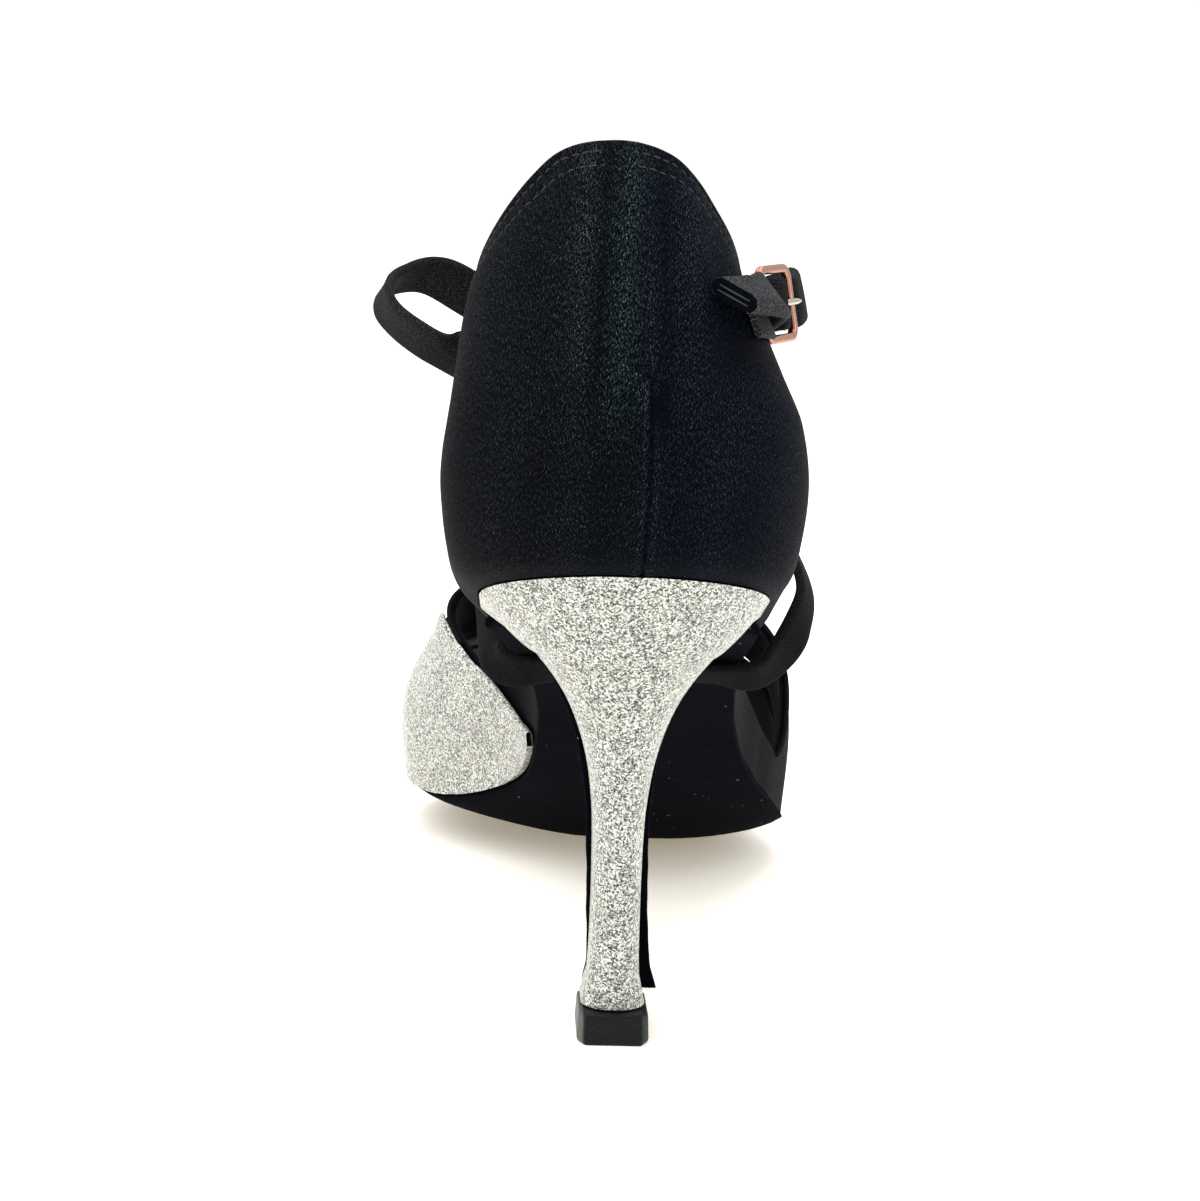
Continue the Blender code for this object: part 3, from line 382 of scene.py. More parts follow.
def newMaterial(name, **values):
    material = bpy.data.materials.new(name)
    material.use_nodes = True
    tree = material.node_tree
    shader = tree.nodes["Principled BSDF"]
    for key, value in values.items():
        shader.inputs[socketNames[key]].default_value = (*value, 1.0) if isinstance(value, tuple) else value
    return material, tree, shader, addNode(tree, "ShaderNodeTexCoord").outputs["Object"]


def addNode(tree, kind, inputs=None, **settings):
    node = tree.nodes.new(kind)
    for key, value in settings.items():
        setattr(node, key, value)
    for key, value in (inputs or {}).items():
        if isinstance(value, bpy.types.NodeSocket):
            tree.links.new(value, node.inputs[key])
        else:
            node.inputs[key].default_value = value
    return node


def dress(tree, shader, colour, relief, rough=None):
    # relief is the height, its strength and its distance
    tree.links.new(colour, shader.inputs["Base Color"])
    bump = addNode(tree, "ShaderNodeBump", dict(zip(("Height", "Strength", "Distance"), relief)))
    tree.links.new(bump.outputs["Normal"], shader.inputs["Normal"])
    if rough is not None:
        tree.links.new(rough, shader.inputs["Roughness"])


def ramp(tree, factor, stops):
    node = addNode(tree, "ShaderNodeValToRGB", {"Fac": factor})
    marks = node.color_ramp.elements
    while len(marks) < len(stops):
        marks.new(0.5)
    for mark, (place, tone) in zip(marks, stops):
        mark.position = place
        mark.color = (*tone, 1.0) if isinstance(tone, tuple) else (tone, tone, tone, 1.0)
    return node.outputs["Color"]


def maths(tree, operation, first, second, clamp=False):
    node = addNode(tree, "ShaderNodeMath", {0: first, 1: second}, operation=operation, use_clamp=clamp)
    return node.outputs[0]


def plus(tree, first, second):
    return maths(tree, "ADD", first, second)


def times(tree, first, second, clamp=False):
    return maths(tree, "MULTIPLY", first, second, clamp)


def scaledUp(tree, value, factor):
    # the value times the factor, plus a half
    return maths(tree, "MULTIPLY_ADD", value, factor)


def spread(tree, value, low, high, start=0.0, end=1.0):
    inputs = {"Value": value, "From Min": start, "From Max": end, "To Min": low, "To Max": high}
    return addNode(tree, "ShaderNodeMapRange", inputs).outputs[0]


def noise(tree, where, scale, detail=2.0, roughness=0.5, distortion=0.0):
    inputs = {"Vector": where, "Scale": scale, "Detail": detail, "Roughness": roughness, "Distortion": distortion}
    return addNode(tree, "ShaderNodeTexNoise", inputs).outputs["Fac"]


def mapped(tree, where, turn=0.0, scale=(1.0, 1.0, 1.0)):
    inputs = {"Vector": where, "Rotation": (0, 0, math.radians(turn)), "Scale": scale}
    return addNode(tree, "ShaderNodeMapping", inputs).outputs[0]


def acrossOf(tree, place):
    return addNode(tree, "ShaderNodeSeparateXYZ", {0: place}).outputs["X"]


def mixColour(tree, factor, first, second, **settings):
    first, second = ((*tone, 1) if isinstance(tone, tuple) else tone for tone in (first, second))
    inputs = {0: factor, 6: first, 7: second}
    return addNode(tree, "ShaderNodeMix", inputs, data_type="RGBA", **settings).outputs[2]


def twill(tree, where, turn, pitch):
    # fine diagonal ribs, pitch in metres
    inputs = {"Vector": mapped(tree, where, turn), "Scale": 0.314 / pitch}
    inputs.update({"Distortion": 1.5, "Detail": 1.0, "Detail Scale": 0.4})
    return addNode(tree, "ShaderNodeTexWave", inputs).outputs["Fac"]


def clothMap(tree):
    return addNode(tree, "ShaderNodeUVMap", uv_map="cloth").outputs["UV"]


def shadeOf(tree):
    return addNode(tree, "ShaderNodeAttribute", attribute_name="shade").outputs["Fac"]


satinValues = {
    "pitch": 0.52 * mm, "thread": 0.24 * mm, "grain": 0.20 * mm, "turn": 52,
    "dark": (0.0009, 0.0012, 0.0022), "light": (0.082, 0.097, 0.114),
    "sparkle": [(0.48, 0.0), (0.55, 0.10), (0.61, 0.38), (0.69, 1.0)],
    "paintedSheenCast": [(0.25, (1, 1, 1)), (0.42, (0.8, 1.12, 1.0)), (0.53, (0.8, 0.95, 1.1)), (0.7, (0.82, 0.92, 1.22))],
}
glitterValues = {
    "grain": 0.29 * mm, "fleck": 0.14 * mm, "jitter": 0.5 * mm, "shift": 0.10 * mm,
    "tones": [
        (0.20, (0.012, 0.013, 0.012)), (0.34, (0.07, 0.073, 0.068)), (0.46, (0.25, 0.256, 0.236)),
        (0.60, (0.44, 0.45, 0.415)), (0.85, (0.84, 0.85, 0.79)),
    ],
}
suedeValues = {"nap": 0.16 * mm, "dark": (0.0006, 0.0009, 0.0022), "light": (0.0022, 0.0027, 0.0048)}
strapValues = {"nap": 0.22 * mm, "dark": (0.0016, 0.0018, 0.0022), "light": (0.125, 0.130, 0.138)}


def makeSatin():
    material, tree, shader, place = newMaterial(
        "blackSatin", roughness=0.45, sheen=0.003, sheenRoughness=0.25, sheenTint=(0.62, 0.74, 0.9),
        specular=0.012, anisotropic=0.35,
    )
    values, cloth = satinValues, clothMap(tree)
    ribs = twill(tree, cloth, values["turn"], values["pitch"])
    threads = noise(tree, mapped(tree, cloth, values["turn"], (1.0, 0.36, 1.0)), 1 / values["thread"], 2.5, 0.6)
    grain = noise(tree, place, 1 / values["grain"], 2.0, 0.6)
    patches = noise(tree, place, 110.0, 2.0)
    # painted glints: the sparkle of threads and grain, with the twill ribs, the patches and the painted light and
    # shade of the shade attribute, sets how far each point goes from the dark colour to the light one
    sparkle = ramp(tree, plus(tree, times(tree, threads, 0.6), times(tree, grain, 0.4)), values["sparkle"])
    lit = times(tree, sparkle, scaledUp(tree, ribs, 0.7))
    shade = times(tree, times(tree, lit, scaledUp(tree, patches, 0.9)), shadeOf(tree), clamp=True)
    base = mixColour(tree, shade, values["dark"], values["light"])
    # a painted sheen tint: cool green along the middle painted highlight streaks and blue beside them
    paintedSheenCast = ramp(tree, scaledUp(tree, acrossOf(tree, place), 25.0), values["paintedSheenCast"])
    tinted = mixColour(tree, 1.0, base, paintedSheenCast, blend_type="MULTIPLY")
    relief = (plus(tree, times(tree, ribs, 0.5), grain), 0.7, 0.10 * mm)
    dress(tree, shader, tinted, relief, spread(tree, grain, 0.68, 0.44, 0.3, 0.7))
    return material


def makeGlitter():
    material, tree, shader, place = newMaterial(
        "silverGlitter", roughness=0.4, metallic=0.1, specular=0.4, coat=0.05, coatRoughness=0.3
    )
    values = glitterValues
    inputs = {"Vector": place, "Scale": 1 / values["jitter"], "Detail": 1.0}
    jitter = addNode(tree, "ShaderNodeTexNoise", inputs).outputs["Color"]
    shift = addNode(tree, "ShaderNodeVectorMath", {0: jitter, "Scale": values["shift"]}, operation="SCALE")
    grains = addNode(tree, "ShaderNodeVectorMath", {0: place, 1: shift.outputs[0]}, operation="ADD").outputs[0]
    cells = []
    for size in ("grain", "fleck"):
        cell = addNode(tree, "ShaderNodeTexVoronoi", {"Vector": grains, "Scale": 1 / values[size]})
        cells.append(addNode(tree, "ShaderNodeSeparateColor", {0: cell.outputs["Color"]}).outputs)
    large, small = cells
    blend = plus(tree, times(tree, small["Red"], 0.42), times(tree, large["Red"], 0.58))
    tones = ramp(tree, blend, values["tones"])
    relief = (plus(tree, large["Blue"], times(tree, small["Green"], 0.5)), 0.6, 0.10 * mm)
    dress(tree, shader, tones, relief, spread(tree, large["Green"], 0.16, 0.62))
    return material


def makeSuede():
    material, tree, shader, place = newMaterial(
        "blackSuede", roughness=0.95, sheen=0.006, sheenRoughness=0.5, sheenTint=(0.7, 0.75, 0.9), specular=0.02
    )
    nap = noise(tree, place, 1 / suedeValues["nap"], 3.0, 0.65)
    tone = ramp(tree, times(tree, nap, noise(tree, place, 160.0, 3.0, 0.6, 0.8)), [(0.12, 0.0), (0.42, 1.0)])
    base = mixColour(tree, tone, suedeValues["dark"], suedeValues["light"])
    dust = ramp(tree, noise(tree, place, 1050.0, 0.0), [(0.845, 0.0), (0.86, 1.0)])
    dusty = mixColour(tree, times(tree, dust, 0.5), base, (0.25, 0.26, 0.27))
    dress(tree, shader, dusty, (nap, 0.7, 0.12 * mm))
    return material


def makeStrapCloth():
    material, tree, shader, place = newMaterial(
        "strapSatin", roughness=0.72, sheen=0.008, sheenRoughness=0.4, sheenTint=(0.75, 0.8, 0.9), specular=0.02
    )
    nap = noise(tree, place, 1 / strapValues["nap"], 3.0, 0.62)
    ribs = twill(tree, clothMap(tree), 45, 0.5 * mm)
    tone = times(tree, ramp(tree, nap, [(0.42, 0.0), (0.55, 0.35), (0.68, 1.0)]), scaledUp(tree, ribs, 0.6))
    shade = times(tree, tone, shadeOf(tree), clamp=True)
    base = mixColour(tree, shade, strapValues["dark"], strapValues["light"])
    dress(tree, shader, base, (plus(tree, nap, times(tree, ribs, 0.3)), 0.6, 0.12 * mm))
    return material


def makeLining():
    material, tree, shader, place = newMaterial(
        "blackLining", roughness=0.6, sheen=0.005, sheenRoughness=0.5, specular=0.03
    )
    pores = addNode(tree, "ShaderNodeTexVoronoi", {"Vector": place, "Scale": 1 / (0.7 * mm)}).outputs["Distance"]
    cloudy = noise(tree, place, 130.0, 3.0)
    tone = ramp(tree, cloudy, [(0.35, 0.0), (0.7, 1.0)])
    base = mixColour(tree, tone, (0.0018, 0.0019, 0.0028), (0.006, 0.0063, 0.008))
    dress(tree, shader, base, (pores, 0.35, 0.1 * mm), spread(tree, cloudy, 0.5, 0.8))
    return material


def makeTipPlastic():
    material, tree, shader, place = newMaterial(
        "tipPlastic", roughness=0.38, specular=0.12, coat=0.02, coatRoughness=0.3
    )
    grit = noise(tree, place, 1 / (0.3 * mm), 4.0, 0.6)
    streaks = mapped(tree, place, 0.0, (1.0, 1.0, 6.0))
    scuffs = ramp(tree, noise(tree, streaks, 420.0, 4.0, 0.7, 1.2), [(0.56, 0.0), (0.70, 1.0)])
    base = mixColour(tree, scuffs, (0.0022, 0.0036, 0.0042), (0.020, 0.023, 0.024))
    # painted reflection: the left facet is painted pale grey where it mirrors the light
    leftFacetReflection = spread(tree, acrossOf(tree, place), 0.75, 0.0, -5.25 * mm, -4.85 * mm)
    base = mixColour(tree, times(tree, leftFacetReflection, grit), base, (0.22, 0.225, 0.215))
    rough = spread(tree, plus(tree, grit, scuffs), 0.28, 0.72, 0.0, 1.6)
    dress(tree, shader, base, (grit, 0.25, 0.06 * mm), rough)
    return material


def makeMetal(name, colour, roughness):
    material, tree, shader, place = newMaterial(name, colour=colour, metallic=1.0, roughness=roughness)
    hazy = noise(tree, place, 900.0, 3.0, 0.6)
    tone = mixColour(tree, ramp(tree, hazy, [(0.4, 0.0), (0.75, 0.6)]), colour, tuple(c * 0.72 for c in colour))
    rough = spread(tree, hazy, roughness * 0.6, roughness * 1.7)
    dress(tree, shader, tone, (noise(tree, place, 5200.0, 2.0), 0.05, 0.03 * mm), rough)
    return material


def makeThread(name, dark, light):
    material, tree, shader, place = newMaterial(name, roughness=0.6, sheen=0.05, specular=0.15)
    strands = noise(tree, place, 1 / (0.12 * mm), 2.0)
    dress(tree, shader, mixColour(tree, strands, dark, light), (strands, 0.4, 0.04 * mm))
    return material


satin, glitter, suede, strapCloth = makeSatin(), makeGlitter(), makeSuede(), makeStrapCloth()
lining, tipPlastic = makeLining(), makeTipPlastic()
roseMetal = makeMetal("roseMetal", (0.40, 0.20, 0.15), 0.22)
brightMetal = makeMetal("brightMetal", (0.42, 0.38, 0.33), 0.18)
blackThread = makeThread("blackThread", (0.006, 0.0075, 0.0085), (0.040, 0.046, 0.052))
print("materials made")


# The upper: a satin shell and a lining shell between the same edges

def shellStations(fine):
    turns = math.pi / 2 * (np.arange(fine) / fine) ** 1.25
    back = shoe["heelArc"] * (1 - np.cos(turns))
    spans = [(shoe["heelArc"], 0.24, 0.42), (0.24, 0.345, 0.5), (0.345, 0.49, 0.28), (0.49, 0.62, 0.5),
             (0.62, shoe["throat"], 0.5), (shoe["throat"], shoe["toe"], 0.75), (shoe["toe"], shoe["wallEnd"], 0.42)]
    parts = [np.linspace(low, high, int(fine * share), endpoint=False) for low, high, share in spans]
    return np.concatenate([back, *parts, [shoe["wallEnd"]]])


def wallShell(
    name, columns, topOf, outset, thickness, rows, innerRows, material, relief=None, joins=True, drop=0.0
):
    # each column, a side and a station, becomes a closed ring up the outside, over the edge and down inside
    turns = 6
    sides = np.array([side for side, _ in columns])
    along = np.array([station for _, station in columns])
    tops = np.array([topOf(side, station) for side, station in columns])
    joined = joins & (along > shoe["throat"] - 1e-6) & (along < shoe["toe"] + 1e-6)
    rings, coords = np.zeros((len(along), rows + innerRows + turns - 1, 3)), []
    radius = thickness / 2
    for side in (-1, 1):
        mine = sides == side
        if not mine.any():
            continue
        where, top = along[mine], tops[mine]
        nearTop = lastPoint(side, where, top) - lastPoint(side, where, top - 0.01)
        perShare = np.linalg.norm(nearTop, axis=-1) / 0.01
        top = np.where(joined[mine], top, top - drop / perShare)
        pull = np.where(joined[mine], 0.0, np.minimum(radius / perShare, 0.6 * top))
        up = np.linspace(0, 1, rows)[None, :] ** 0.92
        down = np.linspace(1, 0, innerRows)[None, :]
        bend = np.linspace(0, math.pi, turns + 1)[1:-1][None, :]
        straight, pull = (top - pull)[:, None], pull[:, None]
        shares = np.concatenate([up * straight, straight + pull * np.sin(bend), down * straight], axis=1)
        offsets = np.concatenate([
            np.full(rows, outset), outset - radius + radius * np.cos(bend[0]), np.full(innerRows, outset - thickness),
        ])
        stations = np.broadcast_to(where[:, None], shares.shape)
        place = lastPoint(side, stations, shares)
        normal = lastNormal(side, stations, np.minimum(shares, 0.997))
        atCrest = shares > 0.9995
        normal = np.where(atCrest[..., None], crestNormal(stations), normal)
        depth = np.broadcast_to(offsets[None, :], shares.shape)
        if relief is not None:
            outer = (np.arange(shares.shape[1]) < rows + turns // 2)[None, :]
            depth = depth + relief(side, stations, shares, place) * outer
        rings[mine] = place + normal * depth[..., None]
    count = rings.shape[1]
    run = runAlong(rings[:, rows // 2])
    rise = np.array([runAlong(ring) for ring in rings])
    uv = np.stack([np.broadcast_to(run[:, None], rise.shape), rise], axis=-1).reshape(-1, 2)
    faces = []
    for k in range(len(along) - 1):
        skip = joined[k] and joined[k + 1] and sides[k] == sides[k + 1]
        for j in range(count):
            if skip and rows - 1 <= j < rows + turns - 1:
                continue
            n = (j + 1) % count
            faces.append((k * count + j, (k + 1) * count + j, (k + 1) * count + n, k * count + n))
    for k in (0, len(along) - 1):
        faces.append(tuple(k * count + j for j in range(count)))
    return makePiece(name, rings.reshape(-1, 3), faces, material, uv)


# Folds in mm. Pleats down the back: place at the top and at the bottom, width, height.
# Puckers round the head of the seam: turn in degrees, reach, depth. Sags: across, up, width, height, depth.
counterFolds = {
    "pleats": [
        (-10.5, -8.0, 2.6, 0.34), (-6.3, -5.2, 1.5, -0.30), (-3.2, -1.6, 2.4, 0.42), (2.6, 2.4, 2.0, -0.34),
        (6.0, 9.5, 2.6, 0.28), (10.5, 14.0, 2.2, -0.16), (-16.5, -13.5, 2.6, -0.14),
    ],
    "pleatBottom": 99 * mm, "pleatTop": 145 * mm,
    "seamPlace": 0.9 * mm, "seamTop": 111.5 * mm, "seamWidth": 0.34 * mm, "seamDepth": 0.34 * mm,
    "seamSwell": 0.16 * mm,
    "puckers": [
        (20, 3.6, 0.24), (62, 4.4, 0.26), (112, 3.8, 0.26), (155, 4.6, 0.24), (205, 3.0, 0.2), (335, 3.2, 0.2),
        (262, 2.6, 0.14),
    ],
    "sags": [
        (-21, 96, 9, 5, -0.30), (-17, 104, 8, 3, 0.22), (21, 94, 8, 5, -0.28), (24, 104, 7, 4, 0.24),
        (9, 103, 6, 2.2, -0.16), (-9, 92, 9, 3, 0.14), (12, 90, 9, 3, -0.12),
    ],
}


stitchRows = (1.6 * mm, 3.7 * mm)
edgeStations = np.linspace(0.0008, 0.40, 500)
edgeStretch = {}
for side in (-1, 1):
    edge = lastPoint(side, edgeStations, topAt[side](edgeStations))
    level = np.hypot(np.gradient(edge[:, 0]), np.gradient(edge[:, 1]))
    edgeStretch[side] = np.minimum(np.sqrt(1 + (np.gradient(edge[:, 2]) / level) ** 2), 3.5)


def edgeDistance(side, along, share):
    stretch = np.interp(along, edgeStations, edgeStretch[side])
    return (topAt[side](along) - share) * shoe["counterHeight"] / stretch


def hump(value, width):
    return np.exp(-((value / width) ** 2))


def seamPlace(z):
    return counterFolds["seamPlace"] + 0.35 * mm * np.sin((z - 82 * mm) / (9 * mm))


def belowSeamTop(z, behind):
    return ease(0.0, 1.2 * mm, counterFolds["seamTop"] - z) * behind


def puckers(x, z, start, full, behind):
    # for each pucker the way off its line, how much of it shows, and its depth
    dx, dz = x - counterFolds["seamPlace"], z - counterFolds["seamTop"]
    for turn, reach, height in counterFolds["puckers"]:
        c, s = math.cos(math.radians(turn)), math.sin(math.radians(turn))
        run, aside = dx * c + dz * s, dz * c - dx * s
        fade = ease(start, full, run) * (1 - ease(0.4 * reach * mm, reach * mm, run)) * behind
        yield aside, fade, height * mm


def counterDress(side, stations, shares, place):
    x, y, z = place[..., 0], place[..., 1], place[..., 2]
    values = counterFolds
    behind = 1 - ease(-6 * mm, 4 * mm, y)
    level = (z - values["pleatBottom"]) / (values["pleatTop"] - values["pleatBottom"])
    window = ease(-0.12, 0.30, level) * (1 - 0.75 * ease(0.80, 1.0, level)) * behind
    depth = np.zeros(x.shape)
    for atTop, atBottom, width, height in values["pleats"]:
        middle = (atBottom + (atTop - atBottom) * np.clip(level, -0.2, 1.1)) * mm
        depth += height * mm * hump(x - middle, width * mm) * window
    below = belowSeamTop(z, behind)
    offset = x - seamPlace(z)
    depth -= values["seamDepth"] * hump(offset, values["seamWidth"]) * below
    depth += values["seamSwell"] * hump(np.abs(offset) - 1.1 * mm, 0.7 * mm) * below
    for aside, fade, height in puckers(x, z, 0.2 * mm, 0.9 * mm, behind):
        depth -= height * hump(aside, 0.42 * mm) * fade
    depth += 0.22 * mm * hump(np.hypot(x - values["seamPlace"], z - values["seamTop"]), 0.8 * mm) * behind
    for atX, atZ, wide, high, height in values["sags"]:
        sag = hump(x / mm - atX, wide) * hump(z / mm - atZ, high)
        depth += height * mm * sag * (1 - ease(8 * mm, 30 * mm, y))
    # a slack wave or two along the vamp's bands, and a draw towards the feather edge
    vamp = ease(0.62, 0.70, stations)
    depth += 0.20 * mm * np.sin(stations * 170 + shares * 5 * side) * np.sin(shares * math.pi) * vamp
    depth -= 0.05 * mm * np.cos(stations * 640) * (1 - ease(0.02, 0.09, shares)) * vamp
    # the double row of stitches draws the edge in and leaves a soft roll beyond it
    away = edgeDistance(side, stations, shares)
    onCounter = 1 - ease(0.30, 0.36, stations)
    depth += 0.16 * mm * hump(away - 0.7 * mm, 0.55 * mm) * onCounter
    for row in stitchRows:
        depth -= 0.15 * mm * hump(away - row, 0.34 * mm) * onCounter
    return depth


def runAlong(path):
    return np.concatenate([[0], np.cumsum(np.linalg.norm(np.diff(path, axis=0), axis=1))])


def cutAway(thing, rings):
    cutter = makePiece("slotCutter", *loft(rings), lining, smooth=False)
    modifier = thing.modifiers.new("slot", "BOOLEAN")
    modifier.operation, modifier.solver, modifier.object = "DIFFERENCE", "EXACT", cutter
    settle(thing)
    bpy.data.objects.remove(cutter, do_unlink=True)


def slotCurves(rows):
    knots = [row[0] for row in rows]
    return knots, columnOf(rows, 1), columnOf(rows, 2)


def cutSlot(thing, rows, steps=60):
    knots, stationAt, halfAt = slotCurves(rows)
    reach, rings = 2.5 * layers["wall"], []
    for k in range(steps + 1):
        across = knots[0] + (knots[-1] - knots[0]) * (1 - math.cos(math.pi * k / steps)) / 2
        along = float(stationAt(across))
        half = max(float(halfAt(across)) * shoe["ballWidth"], layers["gap"] / 2) / shoe["length"]
        corners = ((-1, reach), (1, reach), (1, -reach), (-1, -reach))
        rings.append([signedPoint(across, along + sign * half, lift) for sign, lift in corners])
    cutAway(thing, rings)


def joinedLofts(name, parts, material):
    points, faces = [], []
    for ringPoints, ringFaces in parts:
        shift = len(points)
        points += list(ringPoints)
        faces += [tuple(n + shift for n in face) for face in ringFaces]
    return makePiece(name, points, faces, material, weld=1e-8)


def alongPath(path, outs, distances):
    path, outs = np.array(path), np.array(outs)
    run = runAlong(path)
    where = np.stack([np.interp(distances, run, path[:, k]) for k in range(3)], axis=-1)
    facing = np.stack([np.interp(distances, run, outs[:, k]) for k in range(3)], axis=-1)
    return where, unit(facing), run[-1]


def stitchPieces(path, outs, pitch=1.9 * mm, radius=0.14 * mm, share=0.74, seed=1):
    dice = np.random.default_rng(seed)
    length = alongPath(path, outs, [0.0])[2]
    parts, steps, sides, lift = [], 6, 6, 0.03 * mm
    turns = 2 * math.pi * np.arange(sides) / sides
    for k in range(int(length / pitch)):
        middle = (k + 0.5) * pitch + dice.normal(0, 0.03) * pitch
        half = share * pitch / 2 * (1 + dice.normal(0, 0.05))
        part = np.linspace(0, 1, steps + 1)
        where, facing, _ = alongPath(path, outs, middle - half + 2 * half * part)
        across = np.cross(unit(np.gradient(where, axis=0)), facing)
        where = where + across * dice.normal(0, 0.03) * mm
        where = where + across * (part[:, None] - 0.5) * dice.normal(0, 0.08) * mm
        swell = np.sin(np.pi * np.clip(part, 0.06, 0.94)) ** 0.55
        rings = []
        for place, out, aside, full in zip(where, facing, across, swell):
            size = radius * (0.35 + 0.65 * full)
            height = lift + radius * (1.1 * full - 0.9)
            rings.append([place + out * (height + size * math.cos(a)) + aside * size * math.sin(a) for a in turns])
        parts.append(loft(rings))
    return parts


def fibrePiece(root, direction, length, radius, seed, curl=0.6):
    dice = np.random.default_rng(seed)
    way = unit(np.array(direction) + dice.normal(0, 0.35, 3))
    bend = np.cross(way, unit(dice.normal(0, 1, 3))) * curl
    reach = length * dice.uniform(0.5, 1.25)
    aside = unit(np.cross(way, (0.3, 0.5, 0.81)))
    beyond = np.cross(way, aside)
    rings = []
    for s in (0, 1 / 3, 2 / 3, 1):
        place = np.array(root) + way * reach * s + bend * reach * s * s
        size = radius * (1 - 0.75 * s)
        rings.append([place + (aside * math.cos(a) + beyond * math.sin(a)) * size for a in (0.0, 2.094, 4.189)])
    return loft(rings)


def topOf(side, station):
    return float(topAt[side](station))


def bothSides(stations):
    return [(-1, s) for s in stations[::-1]] + [(1, s) for s in stations[1:]]


fineness = 92
counterRows = 96
satinShell = wallShell(
    "upperSatin", bothSides(shellStations(fineness)), topOf, 0.0, layers["satin"], counterRows, 16,
    satin, counterDress,
)
liningShell = wallShell(
    "upperLining", bothSides(shellStations(34)), topOf, -layers["satin"] - 0.05 * mm, layers["lining"], 16, 30,
    lining, drop=0.7 * mm,
)
for rows in slotRows.values():
    cutSlot(satinShell, rows)
    cutSlot(liningShell, rows)
finishPiece(satinShell, "satin", "upper")
finishPiece(liningShell, "lining", "upper")


def satinShade(x, y, z):
    # painted light and shade in the satin's colour, how strongly it seems to shine: vertical highlight streaks, shade
    # along the seam and puckers, and soft shadows
    behind = 1 - ease(2 * mm, 26 * mm, y)
    upper = ease(97 * mm, 116 * mm, z)
    # painted highlight streaks down the back of the counter, with darker gaps between them
    drift = 0.10 * (145 * mm - z)
    places = np.array([-24, -16, -12, -8.8, -6.1, -2.8, 1.7, 6.2, 10.5, 15, 22]) * mm
    tones = [0.9, 0.75, 0.85, 1.75, 0.45, 2.1, 0.35, 1.35, 0.75, 1.1, 1.0]
    streaks = np.interp(x - drift * np.sign(x) * 0.4, places, tones)
    # painted light: lighter towards the top of the counter, with the streaks on its upper back
    tone = 0.50 + 0.55 * ease(84 * mm, 138 * mm, z)
    tone *= 1 + (streaks - 1) * upper * behind
    # painted sheen: a fine vertical ripple of lighter and darker lower down the back
    tone *= 1 + 0.22 * np.sin(x * 560 + np.sin(z * 90) * 1.5) * (1 - upper) * behind
    # painted shade in the seam's groove, broken along its length, a painted highlight either side of it and painted
    # shade to its right
    below = belowSeamTop(z, behind)
    offset = x - seamPlace(z)
    broken = 0.72 + 0.28 * np.sin(z * 2100 + np.sin(z * 700) * 2)
    tone *= 1 - 0.95 * hump(offset, 0.34 * mm) * below * broken
    tone *= 1 + 0.7 * hump(np.abs(offset) - 0.95 * mm, 0.45 * mm) * below
    tone *= 1 - 0.75 * hump(x - 2.6 * mm, 1.5 * mm) * below * ease(96 * mm, 108 * mm, z)
    # painted shade in each pucker's crease with a painted highlight on its flank
    for aside, fade, _ in puckers(x, z, 0.1 * mm, 0.8 * mm, behind):
        tone *= 1 - 0.8 * hump(aside, 0.40 * mm) * fade
        tone *= 1 + 1.2 * hump(aside - 0.75 * mm, 0.35 * mm) * fade
    # painted light: a painted shadow below the tail, painted shade in a fold and a painted highlight on a fold at the
    # head of the seam, in mm
    paintedLightSpots = ((15, 116, 6, 5, -0.8), (1.7, 107, 1.0, 2.4, -0.85), (-0.7, 108.5, 0.8, 3.0, 1.0))
    for atX, atZ, wide, high, gain in paintedLightSpots:
        tone *= 1 + gain * hump(x - atX * mm, wide * mm) * hump(z - atZ * mm, high * mm) * behind
    # painted shade: the satin is painted darker forward along the vamp
    return np.clip(tone, 0.02, 4) * (1 - 0.65 * ease(40 * mm, 75 * mm, y))


def paintShade(thing, shadeOf):
    mesh = thing.data
    coords = np.zeros(len(mesh.vertices) * 3)
    mesh.vertices.foreach_get("co", coords)
    x, y, z = coords.reshape(-1, 3).T
    layer = mesh.attributes.new("shade", "FLOAT", "POINT")
    layer.data.foreach_set("value", shadeOf(x, y, z).astype(np.float32))


paintShade(satinShell, satinShade)


def surfaceAt(side, along, share):
    along, share = np.broadcast_arrays(np.asarray(along, float), np.asarray(share, float))
    place, normal = lastPoint(side, along, share), lastNormal(side, along, share)
    return place + normal * counterDress(side, along, share, place)[..., None], normal


def shareBelow(side, along, distance):
    stretch = np.interp(along, edgeStations, edgeStretch[side])
    return topAt[side](along) - distance * stretch / shoe["counterHeight"]


def tube(name, path, radius, sides=8):
    path = np.array(path)
    ahead = unit(np.gradient(path, axis=0))
    side = unit(np.cross(ahead, (0.21, 0.35, 0.91)))
    beyond = np.cross(ahead, side)
    turns = 2 * math.pi * np.arange(sides) / sides
    rings = [
        [p + (s * math.cos(a) + b * math.sin(a)) * radius for a in turns] for p, s, b in zip(path, side, beyond)
    ]
    return makePiece(name, *loft(rings), lining)


def throatPoint(side, along, lift):
    top = float(topAt[side](along))
    return lastPoint(side, along, top) + lastNormal(side, along, min(top, 0.99)) * lift


throatPath = [throatPoint(-1, along, 0.3 * mm) for along in np.linspace(0.600, 0.672, 60)]
throatPath += [throatPoint(1, along, 0.1 * mm) for along in np.linspace(0.672, 0.600, 60)[1:]]
finishPiece(tube("throatBinding", throatPath, 0.45 * mm, 12), None)


